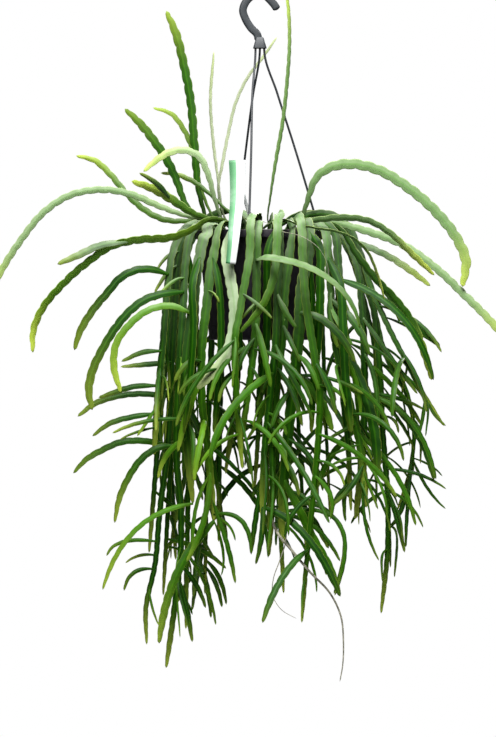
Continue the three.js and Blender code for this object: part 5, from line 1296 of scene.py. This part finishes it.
def thread_parts(thickness, line):
    """A thread with a round section that thins evenly to a third at its end."""
    count = len(smooth_line(line, THREAD_STEP))
    half = 0.5 * thickness * (1 - THREAD_THINNING * np.linspace(0, 1, count))
    return [(swept(line, (0, -1, 0.2), THREAD_STEP, half, half, 8, end_round=1), None)]


# Finishes
# Heights in metres over which the painted highlight on faces that look up fades in; the pale grey-green
# colour in the lists below is that painted highlight and also the pale cover of some stems
PAINTED_HIGHLIGHT_HEIGHTS = (-0.45, -0.26)
GROWN_COLOURS = {"deep": (0.004, 0.034, 0.0), "mid": (0.027, 0.102, 0.001), "fresh": (0.085, 0.20, 0.004),
                 "bloom_and_highlight": (0.35, 0.41, 0.285), "tip": (0.33, 0.40, 0.05)}
YOUNG_COLOURS = {"deep": (0.005, 0.045, 0.0), "mid": (0.024, 0.096, 0.0), "fresh": (0.09, 0.17, 0.003),
                 "bloom_and_highlight": (0.31, 0.325, 0.235), "tip": (0.32, 0.39, 0.05)}
OLIVE_TINT = (1.9, 1.1, 1.0)
SPECK_TINT = (0.55, 0.6, 0.5)
FOOT_BROWN = (0.016, 0.03, 0.008)
NOTCH_BROWN = (0.09, 0.08, 0.03)
POT_BLACKS = ((0.006, 0.005, 0.008), (0.014, 0.012, 0.016))
POT_DUST = (0.10, 0.08, 0.06)
HANGER_GREYS = ((0.009, 0.011, 0.013), (0.018, 0.022, 0.025))
LABEL_GREENS = ((0.006, 0.085, 0.02), (0.06, 0.21, 0.085))
LABEL_WHITES = ((0.27, 0.282, 0.278), (0.31, 0.322, 0.314))
SOIL_BROWNS = ((0.010, 0.006, 0.004), (0.085, 0.05, 0.03))
DRY_GREYS = ((0.07, 0.072, 0.045), (0.26, 0.25, 0.19))
FLOOR_GREYS = ((0.8, 0.8, 0.79), (0.84, 0.84, 0.83))


class Finish:
    """A material and its node tree, with short ways to add a node, a blend of colours and a ramp."""

    def __init__(self, name, roughness, specular):
        self.material = bpy.data.materials.new(name)
        self.material.use_nodes = True
        self.tree = self.material.node_tree
        self.shader = self.tree.nodes["Principled BSDF"]
        self.shader.inputs["Roughness"].default_value = roughness
        self.shader.inputs["Specular IOR Level"].default_value = specular
        self.place = self.node("ShaderNodeTexCoord").outputs["Object"]

    def node(self, kind, **settings):
        made = self.tree.nodes.new(kind)
        for key, value in settings.items():
            setattr(made, key, value)
        return made

    def put(self, socket, value):
        if isinstance(value, bpy.types.NodeSocket):
            self.tree.links.new(value, socket)
        else:
            socket.default_value = value

    def sums(self, operation, *values):
        made = self.node("ShaderNodeMath", operation=operation)
        for socket, value in zip(made.inputs, values):
            self.put(socket, value)
        return made.outputs[0]

    def product(self, *values):
        first, *others = values
        for value in others:
            first = self.sums("MULTIPLY", first, value)
        return first

    def ramp(self, value, low, high, to_low=0.0, to_high=1.0):
        made = self.node("ShaderNodeMapRange", interpolation_type="SMOOTHSTEP")
        for socket, given in zip(made.inputs, (value, low, high, to_low, to_high)):
            self.put(socket, given)
        return made.outputs[0]

    def blend(self, factor, first, second, how="MIX"):
        made = self.node("ShaderNodeMix", data_type="RGBA", blend_type=how, clamp_factor=True)
        self.put(made.inputs["Factor"], factor)
        for socket, value in zip([s for s in made.inputs if s.type == "RGBA"], (first, second)):
            self.put(socket, (*value, 1) if isinstance(value, tuple) else value)
        return [s for s in made.outputs if s.type == "RGBA"][0]

    def tinted(self, colour, tint):
        return self.blend(1.0, colour, tint, "MULTIPLY")

    def noise(self, scale, detail, roughness=0.5):
        made = self.node("ShaderNodeTexNoise")
        self.put(made.inputs["Vector"], self.place)
        for socket, value in (("Scale", scale), ("Detail", detail), ("Roughness", roughness)):
            made.inputs[socket].default_value = value
        return made.outputs["Fac"]

    def mottle(self, scale, detail, low=0.3, high=0.7, to_low=0.0, to_high=1.0):
        """Soft patches: a noise whose middle values are spread from one level to the other."""
        return self.ramp(self.noise(scale, detail), low, high, to_low, to_high)

    def grown(self):
        """The four values that each corner of a piece carries."""
        made = self.node("ShaderNodeAttribute", attribute_name="grown")
        parts = self.node("ShaderNodeSeparateColor")
        self.put(parts.inputs[0], made.outputs["Color"])
        return (*parts.outputs[:3], made.outputs["Alpha"])

    def height_of(self, vector):
        parts = self.node("ShaderNodeSeparateXYZ")
        self.put(parts.inputs[0], vector)
        return parts.outputs["Z"]

    def upward(self):
        return self.height_of(self.node("ShaderNodeNewGeometry").outputs["Normal"])

    def colour(self, value):
        self.put(self.shader.inputs["Base Color"], value)

    def rough(self, value):
        self.put(self.shader.inputs["Roughness"], value)

    def bump(self, height, distance, strength):
        made = self.node("ShaderNodeBump")
        made.inputs["Distance"].default_value = distance
        made.inputs["Strength"].default_value = strength
        self.put(made.inputs["Height"], height)
        self.put(self.shader.inputs["Normal"], made.outputs[0])


def stem_finish(name, top_highlight_share, deep, mid, fresh, bloom_and_highlight, tip):
    """Living stem: greens in soft blotches, a pale grey-green near the top that is painted highlight on
    what faces up and a pale cover on some stems, dark feet and yellow green tips.
    """
    look = Finish(name, 0.42, 0.07)
    tipness, across, shade, notch = look.grown()
    # The greens follow each blade's shade value, which holds the painted shade of the blades behind and of
    # the inner hanging shoots, with soft noise blotches on it
    blotches = look.sums("ADD", shade, look.product(look.noise(22, 4), 0.4))
    green = look.blend(look.ramp(blotches, 0.2, 1.0), deep, mid)
    freshness = look.product(look.ramp(shade, 0.6, 1.0, 0, 0.8), look.ramp(shade, 1.0, 1.2, 1, 0.1))
    green = look.blend(freshness, green, fresh)
    green = look.blend(look.mottle(6, 2, 0.45, 0.7, 0, 0.6), green, look.tinted(green, OLIVE_TINT))
    # Painted highlight: the pale grey-green laid thin on what faces up near the top, as light from above,
    # less on blades in the deepest painted shade, and thick on the stems whose shade is over one, thicker
    # where they face up
    high = look.ramp(look.height_of(look.place), *PAINTED_HIGHLIGHT_HEIGHTS, 0.05, 1)
    high = look.product(high, look.ramp(shade, -0.5, 0.0, 0.1, 1))
    facing = look.ramp(look.upward(), -0.3, 0.9, 0.1, 1)
    painted_top_highlight = look.product(facing, look.mottle(60, 5, 0.3, 0.7, 0.55, 1), high, top_highlight_share)
    covered = look.product(look.ramp(shade, 1.0, 2.0, 0, 0.95),
                           look.ramp(look.upward(), -0.8, 0.6, 0.35, 1))
    green = look.blend(look.sums("MAXIMUM", painted_top_highlight, covered), green, bloom_and_highlight)
    # Paler rib, edges paler in the tip colour, partly the margin's own colour and partly painted highlight,
    # dark foot, yellow tip, brown notches and dark specks
    green = look.blend(look.ramp(across, 0.3, 0.0, 0, 0.25), green, tuple(2 * v for v in mid))
    green = look.blend(look.ramp(across, 0.85, 1.0, 0, 0.3), green, tip)
    green = look.blend(look.ramp(tipness, -0.1, -0.9, 0, 0.85), green, FOOT_BROWN)
    young = look.product(look.ramp(tipness, 0.0, 1.0), look.ramp(shade, 0, 1, 0.6, 0.95),
                         look.ramp(shade, 1.5, 1.9, 1, 0.35))
    green = look.blend(young, green, tip)
    green = look.blend(look.product(look.ramp(notch, 0.55, 0.95), 0.75), green, NOTCH_BROWN)
    look.colour(look.blend(look.mottle(130, 4, 0.35, 0.65, 0, 0.3), green, look.tinted(green, SPECK_TINT)))
    look.rough(look.mottle(90, 3, to_low=0.4, to_high=0.55))
    look.bump(look.sums("ADD", look.noise(320, 2), look.product(look.noise(130, 3), 1.5)), 0.0002, 0.3)
    return look.material


def plastic_finish(name, shades, roughness, grain_scale, dust=None):
    """Moulded plastic: a slight change of shade, a fine grain, and dust where its colour is given."""
    look = Finish(name, roughness, 0.35)
    colour = look.blend(look.mottle(35, 4), *shades)
    if dust:
        lying = look.product(look.mottle(140, 6, 0.45, 0.75), look.ramp(look.upward(), -0.2, 1), 0.5)
        colour = look.blend(lying, colour, dust)
    look.colour(colour)
    look.rough(look.mottle(70, 4, 0.25, 0.75, roughness - 0.07, roughness + 0.09))
    look.bump(look.noise(grain_scale, 3), 0.0002, 0.35)
    return look.material


def label_finish():
    """White plastic with a green band along its left side, paler towards the middle."""
    look = Finish("label_print", 0.45, 0.25)
    across = look.grown()[0]
    green = look.blend(look.ramp(across, 0.05, 0.42), *LABEL_GREENS)
    white = look.blend(look.mottle(30, 3), *LABEL_WHITES)
    look.colour(look.blend(look.ramp(across, 0.40, 0.43, 1, 0), white, green))
    look.rough(look.mottle(120, 3, to_low=0.4, to_high=0.52))
    look.bump(look.noise(500, 2), 0.0001, 0.2)
    return look.material


def soil_finish():
    """Crumbly potting soil: dark peat with paler fibres and a rough grain."""
    look = Finish("soil_brown", 0.95, 0.15)
    shade = look.grown()[2]
    grain = look.noise(260, 8, roughness=0.7)
    look.colour(look.blend(look.sums("MULTIPLY_ADD", shade, 0.5, look.ramp(grain, 0.35, 0.7, 0, 0.7)),
                           *SOIL_BROWNS))
    look.bump(look.sums("ADD", grain, look.noise(1200, 4)), 0.0009, 0.9)
    return look.material


def dry_finish():
    """Dry thread: grey brown, lighter in streaks."""
    look = Finish("dry_thread", 0.8, 0.2)
    look.colour(look.blend(look.mottle(180, 4), *DRY_GREYS))
    look.bump(look.noise(900, 3), 0.0002, 0.5)
    return look.material


# The number after each name is the share of painted highlight on upward faces near the top
grown_green = stem_finish("stem_grown_skin", 0.47, **GROWN_COLOURS)
young_green = stem_finish("stem_young_skin", 0.08, **YOUNG_COLOURS)
pot_black = plastic_finish("pot_black", POT_BLACKS, 0.42, 600, POT_DUST)
hanger_slate = plastic_finish("hanger_slate", HANGER_GREYS, 0.48, 800)
label_print = label_finish()
soil_brown = soil_finish()
dry_thread = dry_finish()

# The pieces
rng = np.random.default_rng(31)
stems, taken = grow_plant()
grow_curls(FINE_CURLS, stems, taken, **FILL_LIMITS)
grow_fill_shoots(stems, taken)

for stem in stems:
    stem.update(BROAD.get(stem["name"], {}))
    parts = [blade_rings(stem, False, rng)]
    parts += [blade_rings(shoot, True, rng) for shoot in stem["side_shoots"]]
    young = stem["name"].startswith("upright")
    mesh_piece(stem["name"] + "_skin", parts, young_green if young else grown_green,
               "stem_young" if young else "stem_grown", stem["name"])

cut_drain_holes(mesh_piece("pot_wall", [pot_part()], pot_black, "pot_plastic", "pot"))
mesh_piece("soil_bed", soil_parts(rng), soil_brown, "soil", "soil")
mesh_piece("soil_crumbs", crumb_parts(rng), soil_brown, "soil")
mesh_piece("hook_bar", hook_parts(), hanger_slate, "hanger_plastic", "hook")
for name, *strand in STRANDS:
    mesh_piece(name + "_bar", strand_parts(*strand), hanger_slate, "hanger_plastic", name)
mesh_piece("label_strip", label_parts(), label_print, "label_plastic", "label")
for index, thread in enumerate(THREADS):
    mesh_piece(f"thread_{index + 1}", thread_parts(*thread), dry_thread, "stem_grown")

# Floor, light and camera
FLOOR_HEIGHTS = (-1180, -1184, -1188)
FLOOR_RADII = (60, 896, 900)
SKY_LIGHT = 0.025
LAMP_AIM = (0, 0, -0.4)
LAMPS = [("top_softbox", (0.0, -0.9, 1.3), 1.0, 128), ("front_softbox", (-0.7, -2.6, 0.9), 0.7, 38),
         ("right_softbox", (1.9, -1.2, 0.4), 0.8, 8), ("back_softbox", (0.5, 2.7, 0.9), 1.0, 55)]
CAMERA_PLACE = (-0.01365, -5.0, -0.4269)
CAMERA_LENS = 212.4

top, edge, below = FLOOR_HEIGHTS
hole, bevel, rim = FLOOR_RADII
floor_profile = np.array([(hole, top), (bevel, top), (rim, edge), (bevel, below), (hole, below)])
floor_pale = plastic_finish("floor_pale", FLOOR_GREYS, 0.7, 60)
mesh_object("studio_floor", [(lathed(floor_profile, 96)[::-1], None)], floor_pale)

# The sky is white for the camera and faint as a light
world = bpy.data.worlds.new("studio")
bpy.context.scene.world = world
world.use_nodes = True
tree = world.node_tree
faint, seen = tree.nodes["Background"], tree.nodes.new("ShaderNodeBackground")
mixed = tree.nodes.new("ShaderNodeMixShader")
for sky, strength, socket in ((faint, SKY_LIGHT, 1), (seen, 1.0, 2)):
    sky.inputs["Color"].default_value = (1, 1, 1, 1)
    sky.inputs["Strength"].default_value = strength
    tree.links.new(sky.outputs[0], mixed.inputs[socket])
tree.links.new(tree.nodes.new("ShaderNodeLightPath").outputs["Is Camera Ray"], mixed.inputs[0])
tree.links.new(mixed.outputs[0], tree.nodes["World Output"].inputs["Surface"])

for name, place, size, power in LAMPS:
    data = bpy.data.lights.new(name, "AREA")
    data.shape = "DISK"
    data.size = size
    data.energy = power
    lamp = bpy.data.objects.new(name, data)
    lamp.location = place
    lamp.rotation_euler = (Vector(LAMP_AIM) - Vector(place)).to_track_quat("-Z", "Y").to_euler()
    bpy.context.scene.collection.objects.link(lamp)

camera = bpy.data.cameras.new("camera")
camera.lens = CAMERA_LENS
camera.sensor_width = 36
camera.clip_end = 60
eye = bpy.data.objects.new("camera", camera)
eye.location = CAMERA_PLACE
eye.rotation_euler = (math.pi / 2, 0, 0)
bpy.context.scene.collection.objects.link(eye)
bpy.context.scene.camera = eye
bpy.context.scene.view_settings.view_transform = "Standard"
